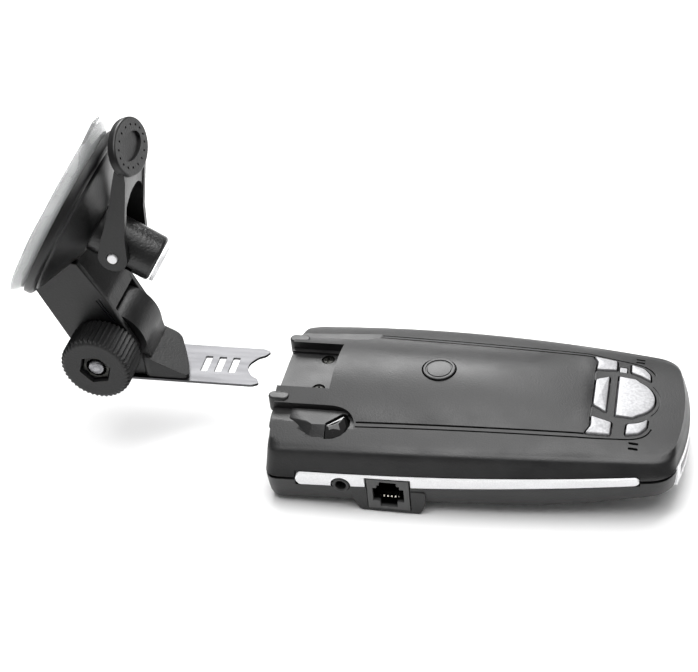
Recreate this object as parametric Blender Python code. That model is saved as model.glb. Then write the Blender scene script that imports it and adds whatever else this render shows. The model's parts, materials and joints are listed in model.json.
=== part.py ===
"""Radar detector on its windscreen mount: case, keys, antenna, jacks, tongue, clamp, arm and suction cup.

Run with: blender --background --python part.py
Metres in Blender; every length below is in millimetres and goes through MM.
The origin is the centre of the flat belly that the case stands on. +X runs to the driver's end, +Z is up.
"""
import math

import bmesh
import bpy
from mathutils import Vector

MM = 0.001

# ---------------------------------------------------------------- driving dimensions (millimetres)
HALF_LENGTH = 63.5
HALF_WIDTH = 35.0
SEAM = 13.0             # height of the seam's reference level above the belly
WALL = 2.0              # case wall
FIT_GAP = 0.3           # gap between touching pieces
FRONT_BULGE = 2.2       # how far the front end bows out
FLANK_DRAFT = 4.4       # how far the flank leans in from seam to shoulder
END_DRAFT = 0.32        # share of that lean at the two ends
CROWN = 17.6            # panel crown above the seam level
PANEL_START = 26.0      # stations are measured from the front end
PANEL_END = 97.0
BELLY_START = 12.0
BELLY_END = 104.0

POCKET_FLOOR = 12.2     # above the seam level
POCKET_HALF = 11.2
SLOT_HALF = 9.8
SLOT_ROOF = 13.9
LIP_STATION = 16.7
SLOT_END = 36.5

BUTTON_STATION = 50.0
BUTTON_RADIUS = 5.2
BUTTON_TRAVEL = 1.5
KEY_BOTTOM = 7.2
KEY_PROUD = 0.8
KEY_GAP = 0.35

TONGUE_HALF = 9.3
TONGUE_BOTTOM = 12.5
TONGUE_TOP = 13.4

KNOB_AXIS = (-119.6, 38.9)      # x, z of the clamp bolt
FORK_OUTER = 10.0
FORK_INNER = 8.0
EYE_RADIUS = 10.6
BARREL_RADIUS = 12.8
KNOB_RADIUS = 11.6
KNOB_NEAR = -22.0

CUP_CENTRE = (-127.3, 84.2)     # x, z of the rim disc's centre
CUP_TILT = 32.0                 # degrees that the cup axis dips below level, away from the glass
CUP_RADIUS = 28.0
PIN_ALONG = 19.3                # pivot pin, measured along the cup axis from the rim plane
STEM_RADIUS = 7.5
STEM_END = 31.6
TAB_HALF_RISE = 8.0
TAB_HALF_WIDTH = 11.5
TAB_OUT, TAB_UP = 8.2, 34.0       # the tab's centre from the lever's pin
TAB_LEAN = 17.0                 # degrees that the finger tab leans over the cup from upright


# ---------------------------------------------------------------- case form
def station(x):
    """Distance from the front end."""
    return x + HALF_LENGTH


def half_width(x):
    """Half width at the seam: parallel at the front, drawn in towards the driver's end."""
    return HALF_WIDTH - max(0.0, station(x) - 20.0) ** 2 / 1430.0


def front_x(y):
    return -HALF_LENGTH - FRONT_BULGE * (1.0 - (y / HALF_WIDTH) ** 4)


def rear_x(y):
    return HALF_LENGTH + 0.8 - 0.0066 * y * y


def seam_z(x):
    """The seam climbs a little towards the driver's end."""
    return SEAM - 1.7 + 0.038 * station(x)


def shoulder_z(x):
    return SEAM + 9.2 - 1.9 * ((station(x) - 62.0) / 62.0) ** 2


def deck_z(x, y):
    """The crowned deck around the panel."""
    drop = 3.8 * (max(0.0, station(x) - 96.0) / 31.0) ** 0.75
    centre = SEAM + 12.8 - drop
    reach = min(1.0, abs(y) / (half_width(x) - FLANK_DRAFT))
    return centre - (centre - shoulder_z(x)) * reach ** 3.2


def panel_half(x):
    return 21.3 - 2.8 * max(0.0, station(x) - PANEL_START) / 70.0


def crown_z(x):
    return SEAM + CROWN - 4.9 * (max(0.0, station(x) - 45.0) / 52.0) ** 1.8


def top_z(x, y):
    """Outer height of the top: the panel's crown, or the deck beside and behind it."""
    half = panel_half(x)
    if station(x) >= PANEL_END or abs(y) >= half:
        return deck_z(x, y)
    edge = deck_z(x, half)
    return max(deck_z(x, y), edge + (crown_z(x) - edge) * (1.0 - (y / half) ** 2))


def side_low_z(x):
    """Height of the lower edge of the flanks."""
    s = station(x)
    return SEAM - 12.0 + 2.4 * min(1.0, s / 60.0) + 5.8 * max(0.0, (s - 78.0) / 49.0) ** 1.5


def smooth_step(t):
    t = min(1.0, max(0.0, t))
    return t * t * (3.0 - 2.0 * t)


def belly_z(x, inset):
    """Underside: a flat plateau that ramps up to the lower edge of the flanks and to the driver's end."""
    edge = side_low_z(x)
    ramp = smooth_step((inset - 4.0) / 6.0) * (1.0 - smooth_step((station(x) - BELLY_END) / 14.0))
    return edge * (1.0 - ramp)


def bezier(a, b, c, count):
    """Points strictly between a and c on the corner curve that b pulls."""
    points = []
    for i in range(1, count):
        t = i / count
        points.append(tuple((1 - t) ** 2 * a[k] + 2 * t * (1 - t) * b[k] + t * t * c[k] for k in (0, 1)))
    return points


def case_outline(draft, wall=0.0):
    """Plan outline: the far half from front to rear, then the near half back, always with the same count.

    The flanks lean in by the whole draft, the two ends by a part of it, and a wall insets all of them.
    """
    side = draft + wall
    front = END_DRAFT * draft + wall
    front_r = max(1.5, 4.6 - 0.6 * wall)
    rear_r = max(2.5, 6.5 - 0.8 * wall)
    half = []
    front_edge = HALF_WIDTH - side - front_r
    for i in range(5):
        y = front_edge * (i + 0.5) / 4.5
        half.append((front_x(y) + front, y))
    corner = (front_x(front_edge) + front + 0.3, half_width(-HALF_LENGTH) - side)
    side_start = corner[0] + front_r
    half += bezier(half[-1], corner, (side_start, corner[1]), 4)
    side_end = rear_x(24.0) - front - rear_r
    for i in range(9):
        x = side_start + (side_end - side_start) * i / 8.0
        half.append((x, half_width(x) - side))
    rear_edge = half_width(side_end) - side - rear_r
    rear_start = (rear_x(rear_edge) - front, rear_edge)
    corner = (rear_start[0] - 1.2, half_width(side_end + rear_r) - side)
    half += bezier(half[-1], corner, rear_start, 4)
    half.append(rear_start)
    for i in range(1, 4):
        y = rear_edge * (1.0 - i / 3.6)
        half.append((rear_x(y) - front, y))
    return half + [(x, -y) for x, y in reversed(half)]


def ring(draft, wall, height):
    """One loop of points on the outline, at a height that is a function of x and y."""
    return [(x, y, height(x, y)) for x, y in case_outline(draft, wall)]


def shrink(loop, keep, height):
    """A loop drawn in towards the centre line, keeping its x."""
    return [(x * (0.35 * keep + 0.65), y * keep, height(x * (0.35 * keep + 0.65), y * keep)) for x, y, _ in loop]


# ---------------------------------------------------------------- scene and mesh helpers
def clear_scene():
    for obj in list(bpy.data.objects):
        bpy.data.objects.remove(obj, do_unlink=True)


def material(name, color, roughness, metallic=0.0, alpha=1.0):
    mat = bpy.data.materials.new(name)
    mat.use_nodes = True
    shader = mat.node_tree.nodes["Principled BSDF"]
    shader.inputs["Base Color"].default_value = (*color, 1.0)
    shader.inputs["Roughness"].default_value = roughness
    shader.inputs["Metallic"].default_value = metallic
    shader.inputs["Alpha"].default_value = alpha
    return mat


def add_object(name, points, faces, mat):
    """A closed mesh object from millimetre points, with its faces turned outwards."""
    mesh = bpy.data.meshes.new(name)
    mesh.from_pydata([(x * MM, y * MM, z * MM) for x, y, z in points], [], faces)
    shape = bmesh.new()
    shape.from_mesh(mesh)
    bmesh.ops.recalc_face_normals(shape, faces=shape.faces)
    shape.to_mesh(mesh)
    shape.free()
    if mat:
        mesh.materials.append(mat)
    obj = bpy.data.objects.new(name, mesh)
    bpy.context.collection.objects.link(obj)
    return obj


def add_empty(name, place, parent=None, turn=(0.0, 0.0, 0.0)):
    empty = bpy.data.objects.new(name, None)
    bpy.context.collection.objects.link(empty)
    empty.parent = parent
    empty.location = Vector(place) * MM
    empty.rotation_euler = turn
    return empty


def seat(obj, origin, parent=None, parent_place=(0.0, 0.0, 0.0)):
    """Moves the object's origin to a point and hangs it on its parent, leaving the shape in place."""
    shift = Vector(origin) * MM
    for vertex in obj.data.vertices:
        vertex.co -= shift
    obj.parent = parent
    obj.location = shift - Vector(parent_place) * MM
    return obj


def smooth(obj, degrees=32.0):
    obj.data.shade_smooth()
    obj.data.set_sharp_from_angle(angle=math.radians(degrees))
    return obj


def as_tool(obj):
    obj.hide_render = True
    obj.display_type = "WIRE"
    return obj


def combine(obj, tools, operation):
    """One exact Boolean for a whole group of tools."""
    group = bpy.data.collections.new(obj.name + "_" + operation.lower())
    for tool in tools:
        group.objects.link(as_tool(tool))
    mod = obj.modifiers.new(operation.lower(), "BOOLEAN")
    mod.operation = operation
    mod.solver = "EXACT"
    mod.operand_type = "COLLECTION"
    mod.collection = group
    return obj


def cut(obj, *tools):
    return combine(obj, tools, "DIFFERENCE")


def fuse(obj, *tools):
    return combine(obj, tools, "UNION")


def loft(name, loops, mat):
    """Skins a stack of equal loops and closes both ends across the centre line."""
    count = len(loops[0])
    points = [p for loop in loops for p in loop]
    faces = []
    for k in range(len(loops) - 1):
        for i in range(count):
            j = (i + 1) % count
            a = k * count
            b = a + count
            faces.append((a + i, a + j, b + j, b + i))
    for base in (0, (len(loops) - 1) * count):
        for i in range(count // 2 - 1):
            faces.append((base + i, base + i + 1, base + count - 2 - i, base + count - 1 - i))
    return add_object(name, points, faces, mat)


def shape_point(axis, u, v, level):
    if axis == "X":
        return (level, u, v)
    if axis == "Y":
        return (u, level, v)
    return (u, v, level)


def prism(name, outline, low, high, mat=None, axis="Z"):
    """Extrudes an outline; low and high are levels, or functions of the outline's two coordinates."""
    low_at = low if callable(low) else lambda u, v: low
    high_at = high if callable(high) else lambda u, v: high
    count = len(outline)
    points = [shape_point(axis, u, v, low_at(u, v)) for u, v in outline]
    points += [shape_point(axis, u, v, high_at(u, v)) for u, v in outline]
    faces = [tuple(range(count)), tuple(range(count, 2 * count))]
    faces += [(i, (i + 1) % count, count + (i + 1) % count, count + i) for i in range(count)]
    return add_object(name, points, faces, mat)


def circle(radius, count=24, centre=(0.0, 0.0), start=0.0):
    return [(centre[0] + radius * math.cos(start + math.tau * i / count),
             centre[1] + radius * math.sin(start + math.tau * i / count)) for i in range(count)]


def arc(centre, radius, start, end, count):
    """Points from one angle to another, in degrees."""
    points = []
    for i in range(count + 1):
        angle = math.radians(start + (end - start) * i / count)
        points.append((centre[0] + radius * math.cos(angle), centre[1] + radius * math.sin(angle)))
    return points


def rectangle(u0, u1, v0, v1, radius=0.0, count=3):
    if radius <= 0.0:
        return [(u0, v0), (u1, v0), (u1, v1), (u0, v1)]
    points = arc((u1 - radius, v0 + radius), radius, -90, 0, count)
    points += arc((u1 - radius, v1 - radius), radius, 0, 90, count)
    points += arc((u0 + radius, v1 - radius), radius, 90, 180, count)
    points += arc((u0 + radius, v0 + radius), radius, 180, 270, count)
    return points


def box(name, x0, x1, y0, y1, z0, z1, mat=None):
    return prism(name, rectangle(x0, x1, y0, y1), z0, z1, mat)


def lathe(name, profile, mat, segments=32):
    """Turns a closed profile of (radius, height) about Z; a point at radius 0 is shared."""
    points = []
    rows = []
    for radius, height in profile:
        if radius < 1e-6:
            rows.append([len(points)] * segments)
            points.append((0.0, 0.0, height))
            continue
        rows.append(list(range(len(points), len(points) + segments)))
        for i in range(segments):
            angle = math.tau * i / segments
            points.append((radius * math.cos(angle), radius * math.sin(angle), height))
    faces = []
    for k in range(len(rows)):
        here = rows[k]
        there = rows[(k + 1) % len(rows)]
        for i in range(segments):
            j = (i + 1) % segments
            corners = []
            for index in (here[i], here[j], there[j], there[i]):
                if index not in corners:
                    corners.append(index)
            if len(corners) > 2:
                faces.append(tuple(corners))
    return smooth(add_object(name, points, faces, mat))


def grow(outline, distance):
    """Offsets a convex outline outwards (or inwards when negative) by moving its sides."""
    area = sum(a[0] * b[1] - b[0] * a[1] for a, b in zip(outline, outline[1:] + outline[:1]))
    sign = 1.0 if area > 0 else -1.0
    grown = []
    count = len(outline)
    for i in range(count):
        before = Vector(outline[i - 1])
        here = Vector(outline[i])
        after = Vector(outline[(i + 1) % count])
        first = (here - before).normalized()
        second = (after - here).normalized()
        n1 = Vector((first.y, -first.x)) * sign
        n2 = Vector((second.y, -second.x)) * sign
        bisector = (n1 + n2).normalized()
        reach = distance / max(0.35, bisector.dot(n1))
        grown.append(tuple(here + bisector * reach))
    return grown


def round_outline(corners, radius, count=3):
    """Rounds the corners of a polygon with short curves."""
    points = []
    total = len(corners)
    for i in range(total):
        before = Vector(corners[i - 1])
        here = Vector(corners[i])
        after = Vector(corners[(i + 1) % total])
        reach_in = min(radius, (before - here).length * 0.45)
        reach_out = min(radius, (after - here).length * 0.45)
        start = here + (before - here).normalized() * reach_in
        end = here + (after - here).normalized() * reach_out
        points.append(tuple(start))
        points += bezier(tuple(start), tuple(here), tuple(end), count)
        points.append(tuple(end))
    return points


# ---------------------------------------------------------------- case shells
def flank_up(share):
    return lambda x, y: seam_z(x) + FIT_GAP / 2 + (shoulder_z(x) - seam_z(x)) * share


def flank_down(share):
    return lambda x, y: seam_z(x) - FIT_GAP / 2 + (side_low_z(x) - seam_z(x)) * share


def top_skin(wall):
    """Loops of the top from the seam to the crown: the outer skin, or the inner one a wall inside it."""
    steps = ((0.0, 0.0), (1.7, 0.45), (3.2, 0.86))
    loops = [ring(draft, wall, flank_up(share * (1.0 - 0.12 * wall / WALL))) for draft, share in steps]
    roof = lambda x, y: top_z(x, y) - wall
    loops.append(ring(4.2, wall, lambda x, y: min(roof(x, y), shoulder_z(x) - 0.25 - wall)))
    base = ring(5.4, wall, roof)
    loops.append(base)
    for keep in (0.75, 0.45, 0.2) if wall else (0.85, 0.68, 0.5, 0.32, 0.15):
        loops.append(shrink(base, keep, roof))
    return loops


def recess_outline(side, grow_by=0.0):
    """Plan outline of the recess that holds the rear laser pod."""
    x0 = -HALF_LENGTH - 6.0
    x1 = PANEL_START - HALF_LENGTH + 0.6 + grow_by
    inner = 16.7 - grow_by
    points = [(x0, inner), (x1 - 9.0, inner)]
    points += bezier((x1 - 9.0, inner), (x1 - 0.5, inner), (x1, inner + 6.0), 6)
    points += [(x1, inner + 9.0), (x0, inner + 9.0)]
    return [(x, side * y) for x, y in points]


def recess_floor(x, y):
    return SEAM + 11.2 - 0.04 * (abs(y) - 16.7)


def make_top_shell(mats):
    shell = loft_shell("top_shell", top_skin(0.0), top_skin(WALL), mats["case"])
    fuse(shell, make_pocket_block(), *[make_recess_block(side) for side in (-1, 1)], *upper_bosses())
    cut(shell, *[prism("recess_cut", recess_outline(side), recess_floor, 40.0) for side in (-1, 1)])
    fuse(shell, make_laser_pod(), *[make_front_post(side) for side in (-1, 1)])
    return smooth(cut(shell, *pocket_tools(), *control_tools(), *upper_screw_tools(), *side_openings()))


def upper_bosses():
    return [screw_boss("upper_boss", x, y, seam_z(x) + 0.4, top_z(x, y) - 1.0) for x, y in SCREW_PLACES]


def pocket_tools():
    """Front pocket, tongue slot, window for the latch tooth, and seat of the rear lens."""
    tools = [
        box("pocket_cut", -80.0, LIP_STATION - HALF_LENGTH, -POCKET_HALF, POCKET_HALF, SEAM + 13.0, 40.0),
        box("slot_cut", -80.0, SLOT_END - HALF_LENGTH, -SLOT_HALF, SLOT_HALF, SEAM + POCKET_FLOOR,
            SEAM + SLOT_ROOF),
        box("tooth_window", TOOTH_X - 2.0, TOOTH_X + 2.0, -2.6, 2.6, SEAM + 9.0, SEAM + 13.0),
        prism("lens_pocket", grow(LENS_BASE, FIT_GAP), LENS_LOW - FIT_GAP, 40.0),
    ]
    return tools


def control_tools():
    """Holes for the button, the keys and the indicator, and the sound slots on the deck."""
    bx = BUTTON_STATION - HALF_LENGTH
    tools = [prism("button_hole", circle(BUTTON_RADIUS + 0.35, 28, (bx, 0.0)), SEAM + 9.0, 40.0),
             prism("indicator_hole", grow(INDICATOR, 0.3), SEAM + 4.0, 40.0)]
    for name, outline in KEY_OUTLINES.items():
        tools.append(prism(name + "_hole", grow(outline, KEY_GAP), SEAM + 4.0, 40.0))
    for side in (-1, 1):
        for row in (-0.95, 0.95):
            y = side * 20.2 + row
            tools.append(box("vent", VENT_X - 1.4, VENT_X + 1.4, y - 0.4, y + 0.4, SEAM + 5.0, 40.0))
    return tools


def upper_screw_tools():
    tools = [prism("pilot", circle(1.6, 12, (x, y)), SEAM - 8.0, seam_z(x) + 6.4) for x, y in SCREW_PLACES]
    for x, y in POCKET_SCREWS:
        tools.append(prism("pocket_screw_hole", circle(1.3, 12, (x, y)), SEAM + 8.0, SEAM + 13.0))
        tools.append(prism("pocket_screw_seat", circle(2.2, 16, (x, y)), SEAM + 11.2, SEAM + 13.0))
    return tools


def loft_shell(name, outer, inner, mat):
    """A cup-shaped shell: outer skin, rim and inner skin in one closed mesh."""
    count = len(outer[0])
    loops = list(reversed(outer)) + inner
    shell = loft(name, loops, mat)
    assert len(shell.data.vertices) == count * len(loops)
    return shell


def make_pocket_block():
    """Solid stock around the tongue's slot, inside the outer skin."""
    x0 = -HALF_LENGTH + 0.6
    return box("pocket_block", x0, SLOT_END - HALF_LENGTH + 1.8, -12.6, 12.6,
               SEAM + POCKET_FLOOR - 1.8, SEAM + 14.8)


def make_recess_block(side):
    """Solid stock under the recess beside the pocket."""
    y0, y1 = sorted((side * 12.0, side * 23.4))
    x0 = front_x(24.0) + 1.1
    return prism("recess_block", rectangle(x0, PANEL_START - HALF_LENGTH + 2.6, y0, y1), SEAM + 8.4,
                 lambda x, y: top_z(x, y) - 0.8)


def screw_boss(name, x, y, low, high):
    return prism(name, circle(3.0, 16, (x, y)), low, high)


def bottom_skin(wall):
    """Loops of the bottom from the seam to the belly: the outer skin, or the inner one a wall inside it."""
    steps = ((0.0, 0.0), (0.5, 0.45), (1.4, 0.82))
    loops = [ring(draft, wall, flank_down(share * (1.0 - 0.2 * wall / WALL))) for draft, share in steps]
    floor = lambda inset: lambda x, y: belly_z(x, inset) + wall
    for draft in (2.9, 4.6, 7.5, 10.5):
        loops.append(ring(draft, wall, floor(draft)))
    last = loops[-1]
    for keep in (0.75, 0.45, 0.2):
        loops.append(shrink(last, keep, lambda x, y: belly_z(x, 12.0) + wall))
    return loops


def make_bottom_shell(mats):
    shell = loft_shell("bottom_shell", bottom_skin(0.0), bottom_skin(WALL), mats["case"])
    fuse(shell, make_jack_bulge(0.0, "jack_bulge"))
    cut(shell, make_jack_bulge(1.8, "jack_bulge_hollow"))
    fuse(shell, *[screw_boss("lower_boss", x, y, belly_z(x, 12.0) + 0.6, seam_z(x) - 0.4) for x, y in SCREW_PLACES])
    return smooth(cut(shell, *lower_screw_tools(), *belly_tools(), *side_openings()))


def lower_screw_tools():
    tools = [prism("screw_hole", circle(1.7, 12, (x, y)), -2.0, 20.0) for x, y in SCREW_PLACES]
    tools += [prism("screw_seat", circle(2.8, 16, (x, y)), -2.0, belly_z(x, 12.0) + 1.6) for x, y in SCREW_PLACES]
    return tools


def belly_tools():
    """Label recess, sound slots under the speaker and the front window's opening."""
    tools = [box("label_recess", LABEL_START - FIT_GAP, LABEL_END + FIT_GAP, -13.3, 13.3, -2.0, 0.5)]
    for k in range(5):
        x = SPEAKER_X - 6.0 + 3.0 * k
        tools.append(box("sound_slot", x - 0.6, x + 0.6, -7.0, 7.0, -2.0, 2.8))
    tools.append(wall_panel("front_opening", "front", -FRONT_WINDOW_HALF - FIT_GAP, FRONT_WINDOW_HALF + FIT_GAP,
                            FRONT_WINDOW_LOW - FIT_GAP, FRONT_WINDOW_HIGH + FIT_GAP, 4.0, 6.0, None))
    return tools


def make_jack_bulge(wall, name):
    """The lower edge drops down to the belly's level around the phone jack."""
    x0 = JACK_X - 11.8 + wall
    x1 = JACK_X + 11.6 - wall
    low = wall
    outline = [(x0 + 2.6, low), (x1 - 1.8, low), (x1, 5.4), (x1, 9.4), (x0, 9.4), (x0, 4.6)]
    return prism(name, outline, -HALF_WIDTH + 0.55 + wall, -18.0 - wall * 0.5, None, "Y")


def wall_panel(name, side, lo, hi, z0, z1, proud, thick, mat, steps=10, z_of=None):
    """A plate that follows an end or a side of the case: proud of it by some distance, and so thick."""
    points = []
    for i in range(steps + 1):
        along = lo + (hi - lo) * i / steps
        low = z0(along) if callable(z0) else z0
        high = z1(along) if callable(z1) else z1
        for offset in (proud, proud - thick):
            for z in (low, high):
                if side == "front":
                    points.append((front_x(along) - offset, along, z))
                elif side == "rear":
                    points.append((rear_x(along) + offset, along, z))
                else:
                    points.append((along, side * (half_width(along) + offset), z))
    faces = []
    for i in range(steps):
        a = 4 * i
        b = a + 4
        for k, m in ((0, 1), (1, 3), (3, 2), (2, 0)):
            faces.append((a + k, a + m, b + m, b + k))
    faces.append((0, 1, 3, 2))
    last = 4 * steps
    faces.append((last, last + 1, last + 3, last + 2))
    return add_object(name, points, faces, mat)


def trim_low(x):
    return seam_z(x) - 2.35 + 0.0095 * station(x)


def trim_high(x):
    return seam_z(x) + 2.35 - 0.0095 * station(x)


def side_openings():
    """Channels for the trim strips, and the holes of both jacks and of the display."""
    low = lambda x: trim_low(x) - FIT_GAP
    high = lambda x: trim_high(x) + FIT_GAP
    tools = [wall_panel("trim_channel", side, TRIM_START - FIT_GAP, TRIM_END + FIT_GAP, low, high, 2.0, 3.3, None)
             for side in (-1, 1)]
    tools.append(box("jack_hole", JACK_X - JACK_HALF - FIT_GAP, JACK_X + JACK_HALF + FIT_GAP, -40.0, -20.0,
                     JACK_LOW - FIT_GAP, JACK_HIGH + FIT_GAP))
    tools.append(prism("earphone_hole", circle(3.0, 20, (EARPHONE_X, EARPHONE_Z)), -40.0, -25.0, None, "Y"))
    tools.append(wall_panel("display_opening", "rear", -BEZEL_HALF - FIT_GAP, BEZEL_HALF + FIT_GAP,
                            BEZEL_LOW - FIT_GAP, BEZEL_HIGH + FIT_GAP, 4.0, 7.6, None))
    return tools


# ---------------------------------------------------------------- places of the pieces (millimetres)
SCREW_PLACES = ((-52.0, -24.0), (-52.0, 24.0), (36.0, -19.5), (36.0, 19.5))
FRONT_POST_END = -59.2
POST_HIGH = 14.9
POCKET_SCREWS = ((-51.6, -7.3), (-51.6, 7.3))
TOOTH_X = -42.0
VENT_X = 48.0
SPEAKER_X = 14.0
LABEL_START = -36.0
LABEL_END = -4.0
JACK_X = -24.9
JACK_HALF = 6.6
JACK_LOW = 1.8
JACK_HIGH = 13.7
EARPHONE_X = -39.7
EARPHONE_Z = 10.4
TRIM_START = -54.0
TRIM_END = 50.5
FRONT_WINDOW_HALF = 23.0
FRONT_WINDOW_LOW = 3.2
FRONT_WINDOW_HIGH = 9.0
BEZEL_HALF = 21.5
BEZEL_LOW = SEAM - 4.0
BEZEL_HIGH = SEAM + 3.4
BOARD_LOW = 14.0
BOARD_HIGH = 15.4


def at_station(points):
    return [(s - HALF_LENGTH, y) for s, y in points]


def mirrored(points):
    return [(x, -y) for x, y in reversed(points)]


def key_outlines():
    """Plan outlines of the six keys."""
    front = at_station([(96.9, 18.4), (98.4, 15.2), (98.2, 11.0), (104.6, 12.4), (104.4, 17.6)])
    rear = at_station([(108.8, 16.8), (109.0, 12.2), (112.4, 11.0), (115.3, 9.0), (115.0, 12.6), (113.0, 15.4)])
    bar = at_station([(98.4, -6.2), (102.6, -8.6), (102.6, 8.6), (98.4, 6.2)])
    big = at_station([(105.4, -9.4), (110.6, -9.2)] + arc((108.3, 0.0), 8.7, -62, 62, 10)
                     + [(110.6, 9.2), (105.4, 9.4)])
    return {
        "key_front_far": front,
        "key_front_near": mirrored(front),
        "key_bar": bar,
        "key_main": big,
        "key_rear_far": rear,
        "key_rear_near": mirrored(rear),
    }


KEY_OUTLINES = key_outlines()
INDICATOR = [(x - HALF_LENGTH, y) for x, y in rectangle(105.4, 107.6, 12.2, 14.8)]
LENS_BASE = at_station([(18.2, -23.4), (18.2, -27.4), (20.6, -27.2), (22.8, -26.2), (24.3, -24.6), (25.0, -22.4),
                        (24.7, -20.2), (23.6, -18.8), (22.2, -19.0)])
LENS_TOP = at_station([(18.2, -24.6), (20.0, -24.4), (21.6, -23.2), (22.8, -21.4), (23.2, -19.4)])
LENS_LOW = SEAM + 8.3
POD_TOP = SEAM + 12.2


# ---------------------------------------------------------------- pieces fixed to the case
def make_trims(mats):
    near = wall_panel("near_trim", -1, TRIM_START, TRIM_END, trim_low, trim_high, 0.15, 1.0, mats["trim"], 24)
    gap = FIT_GAP
    cut(near, box("trim_jack_bite", JACK_X - JACK_HALF - 2 * gap, JACK_X + JACK_HALF + 2 * gap, -40.0, -30.0,
                  0.0, JACK_HIGH + 2 * gap))
    cut(near, prism("trim_round_bite", circle(3.2, 20, (EARPHONE_X, EARPHONE_Z)), -40.0, -30.0, None, "Y"))
    wall_panel("far_trim", 1, TRIM_START, TRIM_END, trim_low, trim_high, 0.15, 1.0, mats["trim"], 24)


def board_outline():
    """U-shaped board: two wings run forward on either side of the horn."""
    far = [(-18.0, 19.5), (-46.0, 19.5), (-46.0, 29.0), (0.0, 29.0), (28.0, 26.0), (31.0, 25.6), (31.0, 15.0),
           (48.0, 15.0)]
    return [(-3.0, 0.0), (-3.0, 19.5)][1:] + far[1:] + [(x, -y) for x, y in reversed(far[1:])] + [(-3.0, -19.5)]


def make_boards(mats):
    board = prism("main_board", board_outline(), BOARD_LOW, BOARD_HIGH, mats["board"])
    for sx, sy in SCREW_PLACES:
        cut(board, prism("board_hole", circle(3.4, 12, (sx, sy)), BOARD_LOW - 2.0, BOARD_HIGH + 2.0))
    outline = round_outline([(33.0, -17.0), (50.5, -14.0), (50.5, 14.0), (33.0, 17.0)], 2.0)
    prism("keypad_board", outline, SEAM + 3.8, SEAM + 5.0, mats["board"])
    prism("key_mat", grow(outline, -0.5), SEAM + 5.3, SEAM + 6.0, mats["mat"])


def make_antenna(mats):
    """Die-cast horn with an open mouth at the front, and the microwave module on its throat."""
    def frame(x, half, low, high):
        return [(x, -half, low), (x, half, low), (x, half, high), (x, -half, high)]
    loops = [frame(-29.5, 6.5, 8.0, 15.5), frame(-32.0, 7.2, 7.6, 16.0), frame(-58.6, 17.0, 3.4, 17.8),
             frame(-58.6, 15.6, 4.8, 16.4), frame(-32.0, 5.6, 9.2, 14.4)]
    points = [p for loop in loops for p in loop]
    faces = [(0, 1, 2, 3), (16, 17, 18, 19)]
    for k in range(4):
        for i in range(4):
            j = (i + 1) % 4
            faces.append((4 * k + i, 4 * k + j, 4 * k + 4 + j, 4 * k + 4 + i))
    add_object("horn_antenna", points, faces, mats["cast"])
    module = prism("microwave_module", rectangle(-29.2, -4.0, -17.5, 17.5, 2.0), 4.0, 17.2, mats["cast"])
    return module


def make_windows(mats):
    wall_panel("front_window", "front", -FRONT_WINDOW_HALF, FRONT_WINDOW_HALF,
               FRONT_WINDOW_LOW, FRONT_WINDOW_HIGH, -0.5, 1.3, mats["lens"])
    prism("front_laser_sensor", rectangle(-60.0, -57.5, 18.2, 22.4), 4.6, 8.4, mats["chip"])
    foot = [(x, y, LENS_LOW) for x, y in LENS_BASE] + [(x, y, SEAM + 9.6) for x, y in LENS_BASE]
    smooth(hull("rear_laser_lens", foot + [(x, y, POD_TOP) for x, y in LENS_TOP], mats["lens"]))
    prism("indicator_window", INDICATOR, SEAM + 6.4, lambda x, y: top_z(x, y) + 0.1, mats["indicator"])


def make_front_post(side):
    """Rounded post at the front edge beside the pocket."""
    y0, y1 = sorted((side * 12.7, side * 16.3))
    outline = rectangle(front_x(14.5) - 0.3, FRONT_POST_END, y0, y1, 1.7)
    return prism("front_post", outline, SEAM + 9.0, SEAM + POST_HIGH)


def make_laser_pod():
    """The rear laser pod: a faceted wedge on the deck, ahead of its lens."""
    base = at_station([(5.8, -17.4), (5.6, -20.8), (12.4, -26.6), (14.0, -27.2), (20.0, -27.2), (24.0, -24.0),
                       (24.0, -17.4)])
    top = at_station([(7.4, -17.4), (11.4, -22.6), (13.6, -24.2), (18.2, -24.0), (21.8, -20.4), (22.2, -17.4)])
    points = [(x, y, top_z(x, y) - 1.4) for x, y in base] + [(x, y, POD_TOP) for x, y in top]
    points += [(x, y, deck_z(x, y)) for x, y in base]
    return hull("laser_pod", points)


def hull(name, points, mat=None):
    """Convex hull of millimetre points as a closed mesh."""
    shape = bmesh.new()
    for x, y, z in points:
        shape.verts.new((x * MM, y * MM, z * MM))
    bmesh.ops.convex_hull(shape, input=shape.verts)
    loose = [v for v in shape.verts if not v.link_faces]
    bmesh.ops.delete(shape, geom=loose, context="VERTS")
    bmesh.ops.recalc_face_normals(shape, faces=shape.faces)
    mesh = bpy.data.meshes.new(name)
    shape.to_mesh(mesh)
    shape.free()
    if mat:
        mesh.materials.append(mat)
    obj = bpy.data.objects.new(name, mesh)
    bpy.context.collection.objects.link(obj)
    return obj


def make_display(mats):
    bezel = wall_panel("display_bezel", "rear", -BEZEL_HALF, BEZEL_HALF, BEZEL_LOW, BEZEL_HIGH, 0.3, 3.0,
                       mats["trim"], 12)
    cut(bezel, wall_panel("bezel_opening", "rear", -18.6, 18.6, BEZEL_LOW + 1.6, BEZEL_HIGH - 1.6, 4.0, 9.0, None))
    wall_panel("display_window", "rear", -18.3, 18.3, BEZEL_LOW + 1.9, BEZEL_HIGH - 1.9, -0.3, 1.4, mats["lens"])
    box("display_module", 52.4, 55.6, -14.5, 14.5, BEZEL_LOW + 2.2, SEAM + 0.8, mats["chip"])


def make_speaker(mats):
    """Magnet, basket and cone face in one turned body, facing down over the sound slots."""
    profile = [(0.0, 5.0), (6.0, 4.2), (12.2, 3.1), (13.0, 3.1), (13.0, 4.8), (8.0, 7.4), (7.0, 7.4),
               (7.0, 10.4), (0.0, 10.4)]
    speaker = lathe("speaker", profile, mats["chip"], 24)
    speaker.location = (SPEAKER_X * MM, 0.0, 0.0)


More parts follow.
